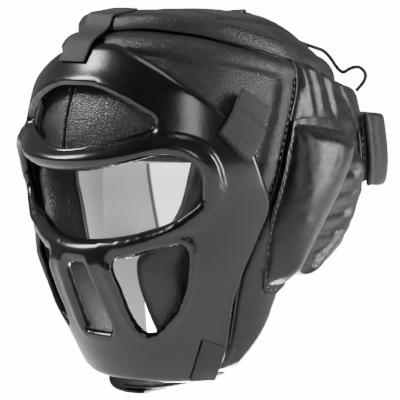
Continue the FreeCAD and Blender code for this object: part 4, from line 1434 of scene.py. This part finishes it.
def crown_normal(x, y):
    d = 1 * MM
    dx = (crown_surface(x + d, y) - crown_surface(x - d, y)) / (2 * d)
    dy = (crown_surface(x, y + d) - crown_surface(x, y - d)) / (2 * d)
    return Vector((-dx, -dy, 1)).normalized()


lace_points = []
for i, y in enumerate(EYELET_PLACES):
    turn = -1 if i % 2 == 0 else 1
    for reach in (-turn, turn):
        x, along = reach * (EYELET_HALF_GAP + 1 * MM), y + (-3 * MM if reach == -turn else 3 * MM)
        lace_points.append(Vector((x, along, crown_surface(x, along))) + crown_normal(x, along) * LACE_LIFT)
for x, y in ((28 * MM, 103 * MM), (41 * MM, 102 * MM)):
    lace_points.append(Vector((x, y, crown_surface(x, y))) + crown_normal(x, y) * (LACE_LIFT + 2 * MM))
lace_points += [Vector(p) * MM for p in LACE_LOOP]

lace_curve = bpy.data.curves.new("crown_lace_cord", "CURVE")
lace_curve.dimensions = "3D"
lace_curve.resolution_u = 12
lace_curve.bevel_depth = LACE_DIAMETER / 2
lace_curve.bevel_resolution = 4
lace_curve.use_fill_caps = True
spline = lace_curve.splines.new("NURBS")
spline.points.add(len(lace_points) - 1)
for point, place in zip(spline.points, lace_points):
    point.co = (*place, 1.0)
spline.order_u = 3
spline.use_endpoint_u = True
lace_curve.materials.append(LACE)
lace = bpy.data.objects.new("crown_lace_cord", lace_curve)
scene.collection.objects.link(lace)
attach(lace, "headgear")
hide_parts("crown_lace")

# %% [markdown]
# The studio: a white floor a little under the headgear, a world that is white only to the camera, and large
# soft lights. Black leather and black plastic are seen only by what they reflect, so one strong light makes
# the highlights of the cage, another those of the rear padding, and the rest stay weak.

# %% Floor, world and lights
AZIMUTH = math.radians(42)
bm = bmesh.new()
bmesh.ops.create_grid(bm, x_segments=2, y_segments=2, size=6.0)
bmesh.ops.translate(bm, verts=bm.verts, vec=(0, 0, cad_low.z - 30 * MM))
floor_mesh = bpy.data.meshes.new("floor")
bm.to_mesh(floor_mesh)
bm.free()
floor_material, floor_tree, floor_shader = new_material("floor_white", (0.9, 0.9, 0.9))
floor_shader.inputs["Roughness"].default_value = 0.9
floor_shader.inputs["Emission Color"].default_value = (1.0, 1.0, 1.0, 1.0)
FLOOR_SEEN, FLOOR_BOUNCE = 14.0, 0.25
seen = floor_tree.nodes.new("ShaderNodeLightPath").outputs["Is Camera Ray"]
glow = floor_tree.nodes.new("ShaderNodeMapRange")
glow.inputs["To Min"].default_value = FLOOR_BOUNCE
glow.inputs["To Max"].default_value = FLOOR_SEEN
floor_tree.links.new(seen, glow.inputs["Value"])
floor_tree.links.new(glow.outputs[0], floor_shader.inputs["Emission Strength"])
floor_mesh.materials.append(floor_material)
floor = bpy.data.objects.new("floor", floor_mesh)
scene.collection.objects.link(floor)

world = bpy.data.worlds.new("studio")
scene.world = world
world.use_nodes = True
tree = world.node_tree
background = tree.nodes["Background"]
background.inputs["Color"].default_value = (1, 1, 1, 1)
WORLD_SEEN, WORLD_FRONT, WORLD_BEHIND = 14.0, 0.03, 0.26
direction = tree.nodes.new("ShaderNodeTexCoord").outputs["Generated"]
facing = tree.nodes.new("ShaderNodeVectorMath")
facing.operation = "DOT_PRODUCT"
facing.inputs[1].default_value = (-math.sin(AZIMUTH), math.cos(AZIMUTH), 0.0)
tree.links.new(direction, facing.inputs[0])
gradient = tree.nodes.new("ShaderNodeMapRange")
gradient.inputs["From Min"].default_value = -0.3
gradient.inputs["From Max"].default_value = 0.9
gradient.inputs["To Min"].default_value = WORLD_FRONT
gradient.inputs["To Max"].default_value = WORLD_BEHIND
tree.links.new(facing.outputs["Value"], gradient.inputs["Value"])
brightness = tree.nodes.new("ShaderNodeMix")
tree.links.new(tree.nodes.new("ShaderNodeLightPath").outputs["Is Camera Ray"], brightness.inputs["Factor"])
tree.links.new(gradient.outputs[0], brightness.inputs["A"])
brightness.inputs["B"].default_value = WORLD_SEEN
tree.links.new(brightness.outputs[0], background.inputs["Strength"])


def soft_light(name, place, target, size, power):
    data = bpy.data.lights.new(name, "AREA")
    data.shape = "RECTANGLE"
    data.size, data.size_y = size
    data.energy = power
    light = bpy.data.objects.new(name, data)
    light.location = place
    light.rotation_euler = (Vector(target) - Vector(place)).to_track_quat("-Z", "Y").to_euler()
    light.visible_camera = False
    scene.collection.objects.link(light)
    return light


soft_light("left_front", (-1.05, -1.0, 1.05), (0, -0.05, 0.02), (0.5, 0.65), 44)
soft_light("right_front", (1.35, -0.80, 0.60), (0, 0, 0), (0.3, 0.6), 4)
soft_light("right_back", (1.25, 0.75, 0.35), (0, 0, 0), (0.25, 1.0), 26)
soft_light("top", (0.2, 0.1, 1.7), (0, 0, 0), (0.8, 0.8), 6)
soft_light("cavity_bounce", (0, 0.03, cad_low.z - 20 * MM), (0, 0.03, 0.1), (0.10, 0.12), 2.0)

# %% [markdown]
# The camera looks from the wearer's left front, a little above the eyes, with a long lens, as the photograph
# does. The shift places the headgear off the middle of the frame without turning the camera.

# %% Camera
ELEVATION, DISTANCE = math.radians(5), 1.5
level_back = Vector((math.sin(AZIMUTH), -math.cos(AZIMUTH), 0.0))
back = level_back * math.cos(ELEVATION) + Vector((0, 0, math.sin(ELEVATION)))
camera_data = bpy.data.cameras.new("camera")
METRES_ACROSS = 400 * 0.72 * MM
camera_data.sensor_width = 36.0
camera_data.lens = 36.0 * DISTANCE / METRES_ACROSS
camera_data.shift_x = 10 / 400
camera_data.shift_y = -32 / 400
camera = bpy.data.objects.new("camera", camera_data)
camera.location = back * DISTANCE
camera.rotation_euler = back.to_track_quat("Z", "Y").to_euler()
scene.collection.objects.link(camera)
scene.camera = camera
